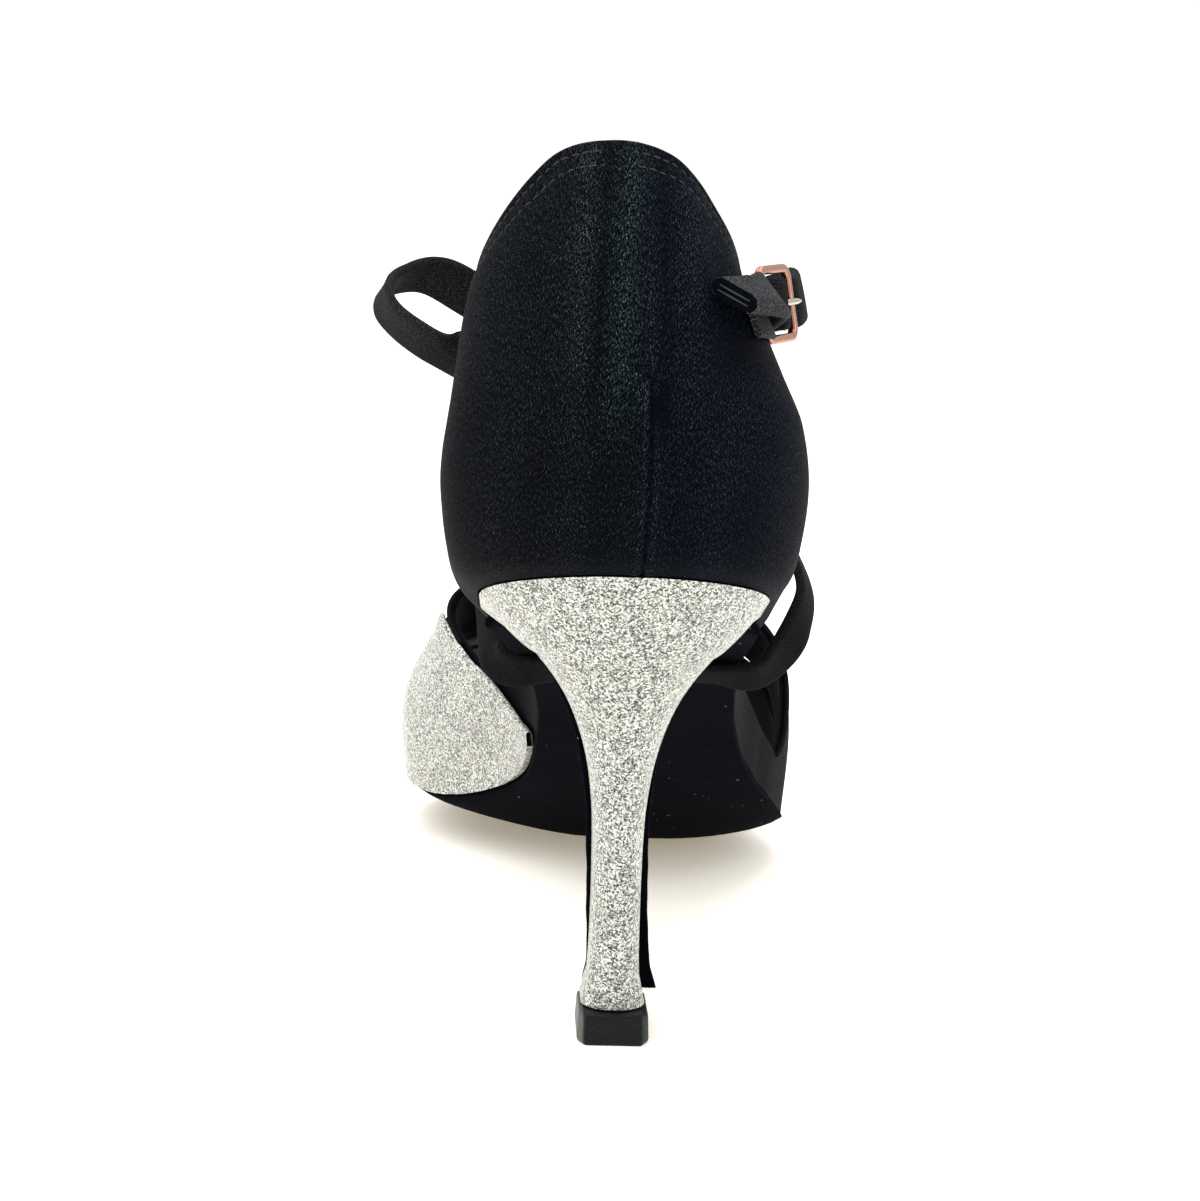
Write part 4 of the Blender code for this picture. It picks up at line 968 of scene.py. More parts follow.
def slotLoop(rows, wider):
    knots, stationAt, halfAt = slotCurves(rows)
    path = []
    for way in (-1, 1):
        across = knots[0] + (knots[-1] - knots[0]) * (1 - np.cos(np.linspace(0, math.pi, 60))) / 2
        for a in across[::-way]:
            half = max(float(halfAt(a)) * shoe["ballWidth"], 0.15 * mm) + wider
            path.append(signedPoint(a, float(stationAt(a)) + way * half / shoe["length"], 0.1 * mm))
    return path


vampStitches = []
for name, rows in slotRows.items():
    path = slotLoop(rows, 0.0)
    finishPiece(tube(name + "SlotBinding", path + path[:1], 0.62 * mm), None)
    path = slotLoop(rows, 1.9 * mm)
    outs = [unit(np.array([p[0] * 0.8, 0.0, 0.03])) for p in path]
    vampStitches += stitchPieces(path, outs, radius=0.12 * mm, seed=11)
finishPiece(joinedLofts("vampStitches", vampStitches, blackThread), None)

collarStitches = []
along = edgeStations[edgeStations < 0.322]
for number, row in enumerate(stitchRows):
    inner, innerOut = surfaceAt(-1, along, shareBelow(-1, along, row))
    outer, outerOut = surfaceAt(1, along, shareBelow(1, along, row))
    path, outs = np.concatenate([inner[::-1], outer]), np.concatenate([innerOut[::-1], outerOut])
    collarStitches += stitchPieces(path, outs, seed=number + 3)
finishPiece(joinedLofts("collarStitches", collarStitches, blackThread), None)
print("upper made", len(satinShell.data.polygons), len(liningShell.data.polygons))


# Glitter panel over the inner side of the vamp

panelValues = {"outset": 1.65 * mm, "thickness": 1.25 * mm, "rows": 40}


def panelTop(side, station):
    throat = float(topAt[-1](station)) if station < shoe["throat"] else 1.0
    return min(throat, float(panelTopAt(station)))


panelStations = [*np.linspace(panelRange[0], 0.66, 70, endpoint=False), *np.linspace(0.66, panelRange[1], 90)]
panel = wallShell(
    "glitterPanel", [(-1, s) for s in panelStations], panelTop, panelValues["outset"], panelValues["thickness"],
    panelValues["rows"], 10, glitter, joins=False,
)
finishPiece(panel, "glitter", "vamp_panel")
print("panel made")


# Heel, tip, outsole and insole

def heelRowAt(level):
    stemBack = heelSizes["stemSetback"]
    stemFront = stemBack + heelSizes["stemDepth"]
    back = stemBack * (1 - heelBackAt(level))
    front = stemFront + (heelSizes["seatLength"] - stemFront) * heelFrontAt(level)
    return heelWidthAt(level) * heelSizes["stemWidth"] / 2, back - tipCentre, front - tipCentre


def heelLevel(level):
    return heelSizes["tipHeight"] + layers["gap"] + level * (shoe["heelHeight"] - heelSizes["tipHeight"])


def closeBreast(ring, steps=8):
    # straight across the breast from the last point back to the first
    return np.concatenate([ring, [ring[-1] + (ring[0] - ring[-1]) * k / steps for k in range(1, steps)]])


def heelPlan(level, count=64):
    half, back, front = heelRowAt(level)
    turn = np.linspace(0, math.pi, count + 1)
    depth = 1 - np.sin(turn)
    bent = np.minimum(depth / (0.45 + 0.35 * level), 1.0)
    across = half * np.sqrt(np.clip(1 - (1 - bent) ** 2, 0, None)) * np.where(turn < math.pi / 2, -1, 1)
    return closeBreast(stack(across, back + (front - back) * depth, heelLevel(level)))


def seatRing(count=64):
    turn = np.linspace(0, math.pi, count + 1)
    along = np.maximum(heelSizes["seatLength"] / shoe["length"] * (1 - np.sin(turn)), 0.002)
    x = np.where(turn < math.pi / 2, edgeX(-1, along, layers["gap"]), edgeX(1, along, layers["gap"]))
    return closeBreast(stack(x, alongY(along), seatLine(along) - layers["gap"]))


def makeHeel():
    top = heelRows[-1][0]
    rings = [heelPlan(level) for level in (*np.linspace(0, 0.1, 8, endpoint=False), *np.linspace(0.1, top, 60))]
    below, seat = rings[-1], seatRing()
    for share in np.linspace(0, 1, 15)[1:]:
        rings.append(below + (seat - below) * np.array([share**0.75, share**0.9, share]))
    return makePiece("glitterHeel", *loft(rings), glitter, angle=50)


def makeTip():
    half, depth, cut = heelSizes["tipWidth"] / 2, heelSizes["tipDepth"] / 2, heelSizes["tipChamfer"]
    plan = [
        (-half, -depth + cut), (-half + cut / 2, -depth), (half - cut / 2, -depth), (half, -depth + cut),
        (half, depth - cut / 3), (half - cut / 3, depth), (-half + cut / 3, depth), (-half, depth - cut / 3),
    ]
    levels = [(0.0, 0.96), (0.12, 1.0), (0.9, 0.97), (1.0, 0.95)]
    rings = [[(x * share, y * share, level * heelSizes["tipHeight"]) for x, y in plan] for level, share in levels]
    tip = makePiece("heelTipBlock", *loft(rings), tipPlastic, angle=35)
    edges = tip.modifiers.new("edges", "BEVEL")
    edges.width, edges.segments, edges.limit_method, edges.angle_limit = 0.32 * mm, 3, "ANGLE", math.radians(12)
    settle(tip)
    tip.data.set_sharp_from_angle(angle=math.radians(50))
    return tip


def bottomRow(along, inset=0.0, count=26):
    left, right = float(edgeX(-1, along)), float(edgeX(1, along))
    middle, half = (left + right) / 2, max((right - left) / 2, 1e-6)
    reach = np.linspace(-1, 1, count + 1)
    reach = np.copysign(np.abs(reach) ** 0.8, reach) * max(half - inset, 0.0) / half
    lift = np.where(reach < 0, edgeLift(-1, along, np.abs(reach)), edgeLift(1, along, np.abs(reach)))
    return stack(middle + half * reach, alongY(along), seatLine(along) + lift)


def bottomNormal(along):
    low, high = max(along - 5e-3, 0.0), min(along + 5e-3, 1.0)
    return unit(np.array([0.0, -(seatLine(high) - seatLine(low)), (high - low) * shoe["length"]]))


def rowNormals(row, slope):
    across = np.gradient(row, axis=0)
    tilt = -across[:, 2] / np.maximum(across[:, 0], 1e-9)
    return unit(slope + stack(tilt * slope[2], 0, 0))


def edged(top, low, bulge=0.22):
    # a closed ring from an upper and a lower row, with softly rounded edges
    ring = list(top)
    share = np.linspace(0, 1, 7)[1:-1]
    for first, second, away in ((top[-1], low[-1], 1.0), (low[0], top[0], -1.0)):
        if away < 0:
            ring += list(low[::-1])
        deep = np.linalg.norm(second - first)
        for s in share:
            swell = np.array([away * bulge * deep * math.sin(math.pi * s), 0, 0])
            ring.append(first + (second - first) * s + swell)
    return np.array(ring)


def breastLine(steps=52):
    levels = np.linspace(heelRows[-1][0], heelSizes["flapEnd"], steps)
    rows = [heelRowAt(level) for level in levels]
    return [(float(front), heelLevel(level), float(half)) for level, (half, _, front) in zip(levels, rows)]


def makeOutsole():
    front = heelSizes["seatLength"] / shoe["length"]
    toeArc, gap, thick = shoe["toeArc"], layers["gap"], layers["sole"]
    aroundToe = 1 - toeArc * (1 - np.cos(np.linspace(math.pi / 2, 0, 24)))
    along = np.linspace(front + 0.03, 1 - toeArc, 72, endpoint=False)
    stations = np.concatenate([along, aroundToe[:-1], [1 - 0.0006]])
    rings = []
    for along in stations[::-1]:
        row = bottomRow(along)
        normals = rowNormals(row, bottomNormal(along))
        reach = np.abs(np.linspace(-1, 1, len(row)))[:, None]
        rounded = 1 - 0.62 * reach**9 * ease(0.50, 0.66, along)
        rings.append(edged(row - normals * gap, row - normals * (gap + thick * rounded)))
        shankRow = row - normals * gap
    breast = breastLine()
    shank = (shankRow[0] + shankRow[-1]) / 2
    first = np.array([0.0, breast[0][0] + gap, breast[0][1]])
    start = np.array([0.0, shank[1], shank[2]])
    slope = bottomNormal(stations[0])
    pull = np.linalg.norm(first - start)
    leave = start + np.array([0.0, -slope[2], slope[1]]) * pull * 0.30
    arrive = first + np.array([0.0, 0.12, 0.99]) * pull * 0.25
    sections = []
    for s in np.linspace(0, 1, 18)[1:-1]:
        place = start * (1 - s) ** 3 + leave * 3 * s * (1 - s) ** 2 + arrive * 3 * s * s * (1 - s) + first * s**3
        ahead = unit((leave - start) * (1 - s) ** 2 + (arrive - leave) * 2 * s * (1 - s) + (first - arrive) * s * s)
        half = breast[0][2] + heelSizes["flapOverhang"]
        left, right = shankRow[0][0] * (1 - s) - half * s, shankRow[-1][0] * (1 - s) + half * s
        normal = np.array([0.0, ahead[2], -ahead[1]])
        sections.append((place, normal, left, right, thick + (heelSizes["flapThickness"] - thick) * s))
    for k, (depth, level, half) in enumerate(breast):
        before, after = breast[max(k - 1, 0)], breast[min(k + 1, len(breast) - 1)]
        ahead = unit(np.array([0.0, after[0] - before[0], after[1] - before[1]]))
        normal = np.array([0.0, ahead[2], -ahead[1]])
        drift = heelSizes["flapDrift"] * (k / (len(breast) - 1)) ** 3
        ragged = 0.05 * mm * math.sin(k * 0.61) + 0.04 * mm * math.sin(k * 1.37 + 1)
        place, reach = np.array([drift, depth, level]) - normal * gap, half + heelSizes["flapOverhang"]
        sections.append((place, normal, ragged - reach, reach + ragged * 0.8, heelSizes["flapThickness"]))
    count = len(shankRow) - 1
    for top, normal, left, right, thickness in sections:
        row = top + stack(np.linspace(left, right, count + 1), 0, 0)
        rings.append(edged(row, row - normal * thickness))
    return makePiece("suedeSole", *loft(rings), suede, angle=60)


def makeInsole():
    shift = 1.6 * layers["gap"] / shoe["length"]
    heelArc, toeArc = shoe["heelArc"], shoe["toeArc"]
    aroundHeel = heelArc * (1 - np.cos(math.pi / 2 * (np.arange(20) + 0.6) / 20))
    aroundToe = 1 - toeArc * (1 - np.cos(math.pi / 2 * (20 - np.arange(20)) / 20))
    stations = np.concatenate([aroundHeel, np.linspace(heelArc, 1 - toeArc, 60), aroundToe, [1 - 0.0008]])
    stations = np.unique(np.clip(stations, 8 * shift, 1 - 3 * shift))
    rings = []
    for along in stations:
        inset = (layers["wall"] + 2 * layers["gap"]) * (1 - ease(0.93, 0.97, along)) + layers["gap"]
        row = bottomRow(along, inset, 20)
        normals = rowNormals(row, bottomNormal(along))
        rings.append(edged(row, row + normals * layers["insole"], -0.12))
    return makePiece("insoleBoard", *loft(rings), lining, angle=60)


finishPiece(makeHeel(), "glitter", "heel")
finishPiece(makeTip(), "tip", "heel_tip")
finishPiece(makeOutsole(), "suede", "outsole")
finishPiece(makeInsole(), "lining", "insole")
print("heel and soles made")


# Ankle strap, buckle tab, buckle and prong

strap = {
    "width": 9.0 * mm, "thickness": 1.7 * mm, "tabWidth": 8.0 * mm, "tabThickness": 1.0 * mm,
    "buckleHeight": 13.4 * mm, "buckleLength": 13.0 * mm, "wire": 1.5 * mm, "corner": 1.8 * mm,
    "prongWidth": 1.1 * mm, "slotWidth": 1.9 * mm, "run": (0.49, 0.87, 0.05), "up": (-0.20, 0.0, 0.98),
    "centre": (0.2990, 0.2210, 0.8520), "slotAlong": (-0.3615, 0.1462), "slotOut": (-0.0923, 0.3385),
    "tabSlot": (-0.225, 0.230),
}

# The strap's route: across and height as shares, station, and the way the strap faces there
strapPoints = [
    (-0.3036, 0.2840, 0.7815, (-0.97, -0.2, 0.15)), (-0.3614, 0.2993, 0.7960, (-0.85, -0.35, -0.30)),
    (-0.4330, 0.3142, 0.8600, (-0.78, -0.40, -0.42)), (-0.4960, 0.3412, 0.9640, (-0.90, -0.25, -0.25)),
    (-0.5230, 0.3727, 1.0880, (-0.90, 0.05, 0.35)), (-0.5010, 0.4043, 1.2000, (-0.55, 0.35, 0.76)),
    (-0.4240, 0.4291, 1.2720, (-0.40, 0.62, 0.67)), (-0.3300, 0.4471, 1.2560, (-0.3, 0.85, 0.43)),
    (-0.1750, 0.4606, 1.1700, (-0.12, 0.87, 0.48)), (-0.0050, 0.4651, 1.0900, (0.05, 0.87, 0.49)),
    (0.1446, 0.4583, 1.0037, (0.22, 0.85, 0.48)), (0.2771, 0.4403, 0.8424, (0.45, 0.78, 0.43)),
    (0.3480, 0.4133, 0.6489, (0.75, 0.57, 0.33)), (0.3960, 0.3795, 0.4403, (0.88, -0.30, 0.05)),
    (0.4270, 0.3480, 0.2560, (0.82, -0.55, -0.12)), (0.4100, 0.3232, 0.1250, (0.60, -0.75, -0.30)),
    (0.3700, 0.3083, 0.0200, (0.42, -0.78, -0.46)), (0.3084, 0.3011, None, (0.18, -0.66, -0.72)),
    (0.2169, 0.2993, None, (0.0, -0.45, -0.89)), (0.0723, 0.2984, None, (0.0, -0.45, -0.89)),
    (-0.0723, 0.2984, None, (0.0, -0.45, -0.89)), (-0.1447, 0.2993, None, (-0.10, -0.60, -0.79)),
    (-0.2080, 0.3020, None, (-0.30, -0.72, -0.62)), (-0.2540, 0.3101, -0.0178, (-0.60, -0.76, -0.25)),
    (-0.2690, 0.3282, 0.0731, (-0.84, -0.54, -0.03)), (-0.2760, 0.3502, 0.1902, (-0.90, -0.42, 0.08)),
    (-0.2900, 0.3750, 0.3374, (-0.93, -0.32, 0.14)), (-0.2990, 0.3998, 0.4983, (-0.93, 0.05, 0.22)),
    (-0.2867, 0.4268, 0.6889, (-0.72, 0.62, 0.32)), (-0.2108, 0.4516, 0.8841, (-0.45, 0.79, 0.42)),
    (-0.0964, 0.4732, 1.0657, (-0.18, 0.86, 0.48)), (0.0301, 0.4840, 1.1943, (0.05, 0.87, 0.49)),
    (0.1627, 0.4786, 1.2613, (0.3, 0.84, 0.45)), (0.2831, 0.4525, 1.2587, (0.6, 0.71, 0.37)),
    (0.3639, 0.4110, 1.2057, (0.85, 0.44, 0.28)), (0.3780, 0.3615, 1.1161, (0.96, 0.12, 0.24)),
    (0.3740, 0.3119, 1.0100, (0.95, -0.22, 0.22)),
]
# Where it lies beside the counter's wall: station, share of the height, offset in strap thicknesses
strapStart = [(0.172, 0.5304, -1.765), (0.205, 0.5898, -1.765), (0.235, 0.6568, -1.815), (0.262, 0.7271, -2.024)]
strapTail = [
    (0.090, 0.7120, 1.90, (0.80, -0.12, 0.58)), (0.064, 0.6900, 1.85, (0.70, -0.20, 0.68)),
    (0.046, 0.6730, 1.90, (0.56, -0.28, 0.78)), (0.030, 0.6590, 2.05, (0.40, -0.30, 0.87)),
    (0.0165, 0.6470, 2.30, (0.28, -0.30, 0.91)),
]
tabStart = [
    (0.040, 0.6450, 0.471), (0.056, 0.6560, 0.471), (0.074, 0.6680, 0.471), (0.095, 0.6850, 0.500),
    (0.118, 0.7080, 0.765),
]
strapThreading = [
    (0.8300, -0.0900), (0.6200, -0.1500), (0.4800, -0.1577), (0.3538, -0.15), (0.0231, 0.0423),
    (-0.3231, 0.2385), (-0.5077, 0.2600), (-0.7800, 0.1900),
]


def strapPlace(across, along, height):
    place = np.array([across * shoe["ballWidth"], float(alongY(along)), float(seatLine(along))])
    if height is not None:
        return place + np.array([0.0, 0.0, height * shoe["counterHeight"]])
    return place - bottomNormal(along) * (3 * layers["gap"] + layers["sole"] + strap["thickness"] / 2)


def wallPlace(side, along, height, offset):
    facing = lastNormal(side, along, height)
    return lastPoint(side, along, height) + facing * offset * strap["thickness"], facing


buckleRun = unit(np.array(strap["run"]))
buckleUp = np.array(strap["up"])
buckleUp = unit(buckleUp - buckleRun * np.dot(buckleUp, buckleRun))
buckleFace = np.cross(buckleRun, buckleUp)
buckleCentre = strapPlace(*strap["centre"])
barCentre = (strap["buckleLength"] - strap["wire"]) / 2


def bucklePlace(along, out, up=0.0):
    return buckleCentre + buckleRun * along + buckleFace * out + buckleUp * up


def frames(path, looks):
    # the way ahead, the way out and the side at every point of a path
    path = np.array(path)
    ahead = unit(np.gradient(path, axis=0))
    out = np.array(looks)
    out = unit(out - ahead * np.sum(out * ahead, axis=1, keepdims=True))
    return path, ahead, out, np.cross(ahead, out)


def ribbon(name, path, looks, width, thickness, material, shape=None, crown=0.0):
    # edge and flat are the steps round each side edge and across each face
    edge, flat = 6, 8
    path, ahead, out, side = frames(path, looks)
    run = runAlong(path)
    half, deep = width / 2, thickness / 2
    turns = np.linspace(-math.pi / 2, math.pi / 2, edge + 1)
    rounded = [(half - deep + deep * math.cos(t), deep * math.sin(t)) for t in turns]
    across = np.linspace(half - deep, -half + deep, flat + 1)[1:-1]
    upper, lower = [(a, deep) for a in across], [(-a, -deep) for a in across]
    outline = np.array(rounded + upper + [(-a, -b) for a, b in rounded] + lower)
    wide, thick, shift = shape(run / run[-1], run) if shape else (1.0, 1.0, 0.0)
    wide, thick, shift = (np.broadcast_to(v, run.shape)[:, None] for v in (wide, thick, shift))
    a, b = outline[:, 0][None, :] * wide, outline[:, 1][None, :] * thick + shift
    b = b + crown * (1 - (a / half) ** 2) * np.where(outline[:, 1] > 0, 1, 0)[None, :]
    rings = path[:, None, :] + side[:, None, :] * a[..., None] + out[:, None, :] * b[..., None]
    uv = np.stack(np.broadcast_arrays(run[:, None], outline[:, 0][None, :]), axis=-1).reshape(-1, 2)
    return makePiece(name, *loft(list(rings)), material, uv, angle=60)


def cutBox(thing, along, out, width):
    length = strap["buckleLength"]
    corners = ((out[0], -1), (out[1], -1), (out[1], 1), (out[0], 1))
    cutAway(thing, [[bucklePlace(a * length, o * length, u * width / 2) for o, u in corners] for a in along])


def strapRoute():
    places, looks = [], []
    for point in strapStart:
        place, facing = wallPlace(-1, *point)
        places.append(place)
        looks.append(facing)
    for across, along, height, face in strapPoints:
        places.append(strapPlace(across, along, height))
        looks.append(np.array(face))
    for along, out in strapThreading:
        places.append(bucklePlace(along * strap["buckleLength"], out * strap["buckleLength"]))
        looks.append(buckleFace)
    for along, height, offset, face in strapTail:
        places.append(wallPlace(1, along, height, offset)[0])
        looks.append(np.array(face))
    return smoothPath(places, 9), smoothPath(looks, 9)


def tabRoute():
    places, looks = [], []
    for point in tabStart:
        place, facing = wallPlace(1, *point)
        places.append(place)
        looks.append(facing)
    bend = strap["wire"] / 2 * 1.08 + layers["gap"] + strap["tabThickness"] / 2
    length = strap["buckleLength"]
    for along, out in ((-0.385 * length, bend * 0.21), (-0.185 * length, bend * 0.85)):
        places.append(bucklePlace(-barCentre + along, out))
        looks.append(buckleFace)
    for k in range(9):
        turn = math.pi / 2 - math.pi * k / 8
        places.append(bucklePlace(-barCentre + bend * math.cos(turn), bend * math.sin(turn)))
        looks.append(buckleRun * math.cos(turn) + buckleFace * math.sin(turn))
    for along, out in ((-0.185 * length, -bend * 0.85), (-0.385 * length, -bend * 0.61)):
        places.append(bucklePlace(-barCentre + along, out))
        looks.append(-buckleFace)
    return smoothPath(places, 6), smoothPath(looks, 6)


def tailShape(share, run):
    # the strap's doubled end is thicker and slightly wider
    end = run[-1] - run
    doubled = 1 - ease(8 * mm, 13 * mm, end)
    return 1 - 0.08 * doubled, 1 + 0.65 * doubled, 0.30 * mm * doubled


strapPath, strapLooks = strapRoute()
ankleStrap = ribbon(
    "ankleStrapBand", strapPath, strapLooks, strap["width"], strap["thickness"], strapCloth, tailShape, 0.12 * mm
)
cutBox(ankleStrap, strap["slotAlong"], strap["slotOut"], strap["slotWidth"])


def strapShade(x, y, z):
    # the turned tail catches the light, the parts round the sole lie in shade
    tail = ease(13 * mm, 4 * mm, y) * ease(110 * mm, 114 * mm, z) * (x > 5 * mm)
    loop = ease(-22 * mm, -34 * mm, x) * ease(108 * mm, 118 * mm, z)
    return 0.26 + 0.75 * tail + 0.16 * loop - 0.14 * ease(80 * mm, 62 * mm, z)


paintShade(ankleStrap, strapShade)
finishPiece(ankleStrap, "satin", "ankle_strap")

# The strap's cut end: a dark plug with two lines of its folded layers
tailPath, tailAhead, tailOut, tailSide = frames(strapPath, strapLooks)
endPath, endAhead, endOut, endSide = (rows[-1] for rows in frames(strapPath[-4:], strapLooks[-4:]))
endCentre = endPath + endOut * 0.30 * mm
plug = [endCentre + endAhead * step * mm for step in (-0.25, 0.02, 0.16)]


def plugShape(share, run):
    return np.array([1.0, 1.0, 0.88]), np.array([1.0, 1.0, 0.80]), 0.0


strapEnd = ribbon(
    "strapCutEnd", plug, [endOut] * 3, strap["width"] * 0.935, strap["thickness"] * 1.70, suede, plugShape
)
finishPiece(strapEnd, None)
for height in (-0.42, 0.42):
    fold = endCentre + endAhead * 0.19 * mm + endOut * height * mm
    folds = [fold + endSide * a * mm for a in np.linspace(-3.0, 3.0, 12)]
    layerParts = stitchPieces(folds, [endAhead] * 12, pitch=6.0 * mm, radius=0.16 * mm, share=0.95, seed=7)
    finishPiece(joinedLofts("strapCutLayer", layerParts, blackThread), None)
buckleTab = ribbon("buckleTabBand", *tabRoute(), strap["tabWidth"], strap["tabThickness"], strapCloth)
rearShare = -barCentre / strap["buckleLength"]
tabSlot = strap["tabSlot"]
slotWidth = strap["prongWidth"] + 3 * layers["gap"]
cutBox(buckleTab, (rearShare + tabSlot[0], rearShare + tabSlot[1]), tabSlot, slotWidth)
paintShade(buckleTab, strapShade)
finishPiece(buckleTab, "satin", "buckle_tab")


def makeFrame():
    reach, height, corner = barCentre, (strap["buckleHeight"] - strap["wire"]) / 2, strap["corner"]
    rings = []
    for quarter, (su, sv) in enumerate(((1, 1), (-1, 1), (-1, -1), (1, -1))):
        for k in range(9):
            turn = math.pi / 2 * (quarter + k / 8)
            away = buckleRun * math.cos(turn) + buckleUp * math.sin(turn)
            middle = bucklePlace(su * (reach - corner), 0.0, sv * (height - corner)) + away * corner
            section = []
            for n in range(20):
                angle = 2 * math.pi * (n + 0.5) / 20
                c, s = math.cos(angle), math.sin(angle)
                # a bar with rounded corners and a groove along its outer face
                grow = strap["wire"] / 2 * 1.05 * (1.12 / (abs(c) ** 4 + abs(s) ** 4) ** 0.16 - 0.10)
                grow *= 1 - 0.16 * math.exp(-((s / 0.28) ** 2)) * (c > 0)
                section.append(middle + (away * c + buckleFace * s) * grow)
            rings.append(section)
    rings.append(rings[0])
    return makePiece("buckleWire", *loft(rings, capped=False), roseMetal, angle=50)


def makeProng():
    radius, length = strap["prongWidth"] / 2, strap["buckleLength"]
    bend = strap["wire"] / 2 * 1.05 + layers["gap"] * 0.7 + radius
    rest = strap["wire"] / 2 * 1.05 + layers["gap"] + radius
    turns = [math.radians(a) for a in range(-60, -271, -30)]
    flat = [(-barCentre + bend * math.cos(a), bend * math.sin(a)) for a in turns]
    flat += [
        (-barCentre + 0.19 * length, bend), (0.0, bend + layers["gap"] / 3),
        (barCentre - 0.15 * length, rest), (barCentre + 0.08 * length, rest),
    ]
    path = np.array(smoothPath([bucklePlace(along, out) for along, out in flat], 5))
    ahead = unit(np.gradient(path, axis=0))
    side = np.cross(ahead, buckleUp)
    rings = []
    for k, place in enumerate(path):
        left = (len(path) - 1 - k) / 4
        thin = 0.45 + 0.55 * math.sin(min(left, 1.0) * math.pi / 2)
        angles = [2 * math.pi * n / 14 for n in range(14)]
        rings.append([place + (buckleUp * math.cos(a) + side[k] * math.sin(a)) * radius * thin for a in angles])
    return makePiece("prongPin", *loft(rings), brightMetal, angle=50)


finishPiece(makeFrame(), "metal", "buckle_frame")
finishPiece(makeProng(), "metal", "buckle_prong")
print("straps and buckle made")


# Loose fibres along the cut edges, in mm: how many, length, radius and first seed

fibreSets = {
    "flapSides": (150, 0.55, 0.035, 0), "flapEnd": (70, 1.0, 0.045, 500),
    "strapEdges": (520, 0.45, 0.03, 900), "strapNub": (80, 1.1, 0.05, 2000),
}
dice = np.random.default_rng(21)
flapLine = breastLine(200)
flapTop, flapFoot = heelLevel(heelRows[-1][0]), heelLevel(0)
nub = int(np.argmin(np.linalg.norm(tailPath - bucklePlace(9.5 * mm, 0.0), axis=1)))


def flapSidesRoot():
    depth, level, half = flapLine[int(dice.integers(20, 200))]
    drift = heelSizes["flapDrift"] * ((flapTop - level) / (flapTop - flapFoot)) ** 3
    way = 1 if dice.random() < 0.75 else -1
    x = drift + way * (half + heelSizes["flapOverhang"] - 0.1 * mm)
    return (x, depth + layers["gap"] + dice.uniform(0.2, 1.0) * mm, level), (way, 0.0, -0.3)


def flapEndRoot():
    depth, level, half = flapLine[-1]
    x = heelSizes["flapDrift"] + dice.uniform(-0.2, 1.0) * (half + heelSizes["flapOverhang"])
    return (x, depth + dice.uniform(0.3, 1.3) * mm, level + 0.2 * mm), (0.25, 0.0, -1.0)


def strapEdgesRoot():
    k = int(dice.integers(4, len(tailPath) - 2))
    way = 1 if dice.random() < 0.5 else -1
    root = tailPath[k] + tailSide[k] * way * (strap["width"] / 2 - 0.06 * mm)
    return root + tailOut[k] * dice.uniform(-0.5, 0.5) * mm, tailSide[k] * way + tailOut[k] * 0.3


def strapNubRoot():
    root = tailPath[nub] + tailOut[nub] * 0.8 * mm + tailSide[nub] * dice.normal(-0.4, 0.8) * mm
    return root + tailAhead[nub] * dice.normal(0, 0.6) * mm, tailOut[nub] + np.array([0.4, 0, 0])


fibreRoots = {
    "flapSides": flapSidesRoot, "flapEnd": flapEndRoot, "strapEdges": strapEdgesRoot, "strapNub": strapNubRoot,
}
fibres = []
for name, (amount, length, radius, seed) in fibreSets.items():
    for number in range(amount):
        root, way = fibreRoots[name]()
        fibres.append(fibrePiece(root, way, length * mm, radius * mm, seed + number))
finishPiece(joinedLofts("looseFibres", fibres, blackThread), None)
print("fibres made", len(fibres))


# Floor, light and camera

def addThing(name, data):
    thing = bpy.data.objects.new(name, data)
    bpy.context.scene.collection.objects.link(thing)
    return thing


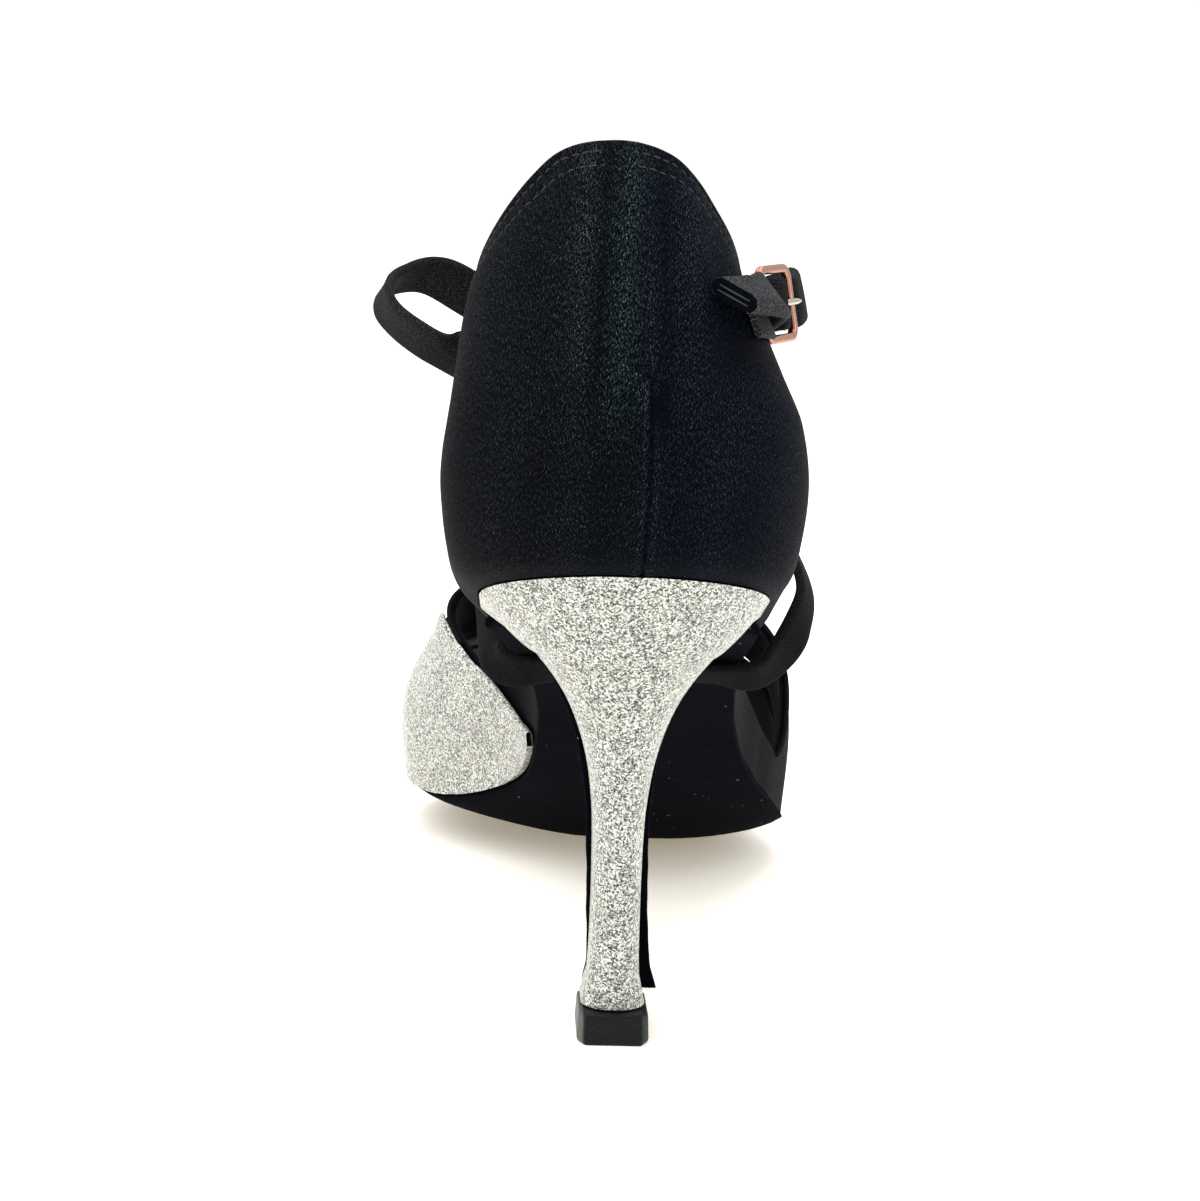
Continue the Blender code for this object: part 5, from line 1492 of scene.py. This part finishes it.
floorMaterial, _, floorShader, _ = newMaterial(
    "paleFloor", colour=(0.93, 0.93, 0.925), roughness=0.8, specular=0.1
)
floorShader.inputs["Emission Color"].default_value = (1.0, 0.88, 0.66, 1.0)
floorShader.inputs["Emission Strength"].default_value = 0.30
floorMesh = bpy.data.meshes.new("floor")
floorMesh.from_pydata([(-25, -4, 0), (25, -4, 0), (25, 60, 0), (-25, 60, 0)], [], [(0, 1, 2, 3)])
floorMesh.materials.append(floorMaterial)
floor = addThing("floor", floorMesh)

world = bpy.data.worlds.new("studio")
bpy.context.scene.world = world
world.use_nodes = True
sky = world.node_tree.nodes["Background"].inputs
sky["Color"].default_value, sky["Strength"].default_value = (1.0, 0.985, 0.945, 1.0), 1.06


def areaLight(name, place, target, size, power, colour=(1, 1, 1)):
    data = bpy.data.lights.new(name, "AREA")
    data.shape, data.size, data.size_y = "RECTANGLE", size[0], size[1]
    data.energy, data.color = power, colour
    light = addThing(name, data)
    light.location = place
    light.rotation_euler = (Vector(target) - Vector(place)).to_track_quat("-Z", "Y").to_euler()


areaLight("keyLight", (-0.55, -0.45, 0.85), (0, 0.03, 0.08), (0.7, 0.7), 5.0, (1.0, 0.995, 0.98))
areaLight("fillLight", (0.75, -0.15, 0.55), (0, 0.03, 0.09), (0.5, 0.8), 2.5, (0.90, 0.96, 1.0))
areaLight("topLight", (0.0, 0.25, 1.0), (0, 0.03, 0.05), (0.9, 0.9), 5.0)

sunData = bpy.data.lights.new("sun", "SUN")
sunData.energy, sunData.angle = 0.55, math.radians(50)
addThing("sun", sunData).rotation_euler = (math.radians(18), math.radians(-22), 0)

view = {
    "yaw": math.radians(2.295), "pitch": math.radians(8.276), "roll": math.radians(1.985),
    "place": (-0.02043, -0.400371, 0.131433), "lens": 74.22,
}
cameraData = bpy.data.cameras.new("camera")
cameraData.sensor_fit, cameraData.sensor_width, cameraData.lens = "HORIZONTAL", 36.0, view["lens"]
cameraData.clip_start, cameraData.clip_end = 0.01, 20.0
camera = addThing("camera", cameraData)
turned = Matrix.Rotation(-view["yaw"], 3, "Z") @ Matrix.Rotation(math.pi / 2 - view["pitch"], 3, "X")
turned = turned @ Matrix.Rotation(view["roll"], 3, "Z")
camera.matrix_world = Matrix.Translation(view["place"]) @ turned.to_4x4()
bpy.context.scene.camera = camera
bpy.context.scene.view_settings.view_transform = "Standard"

print("finishing")
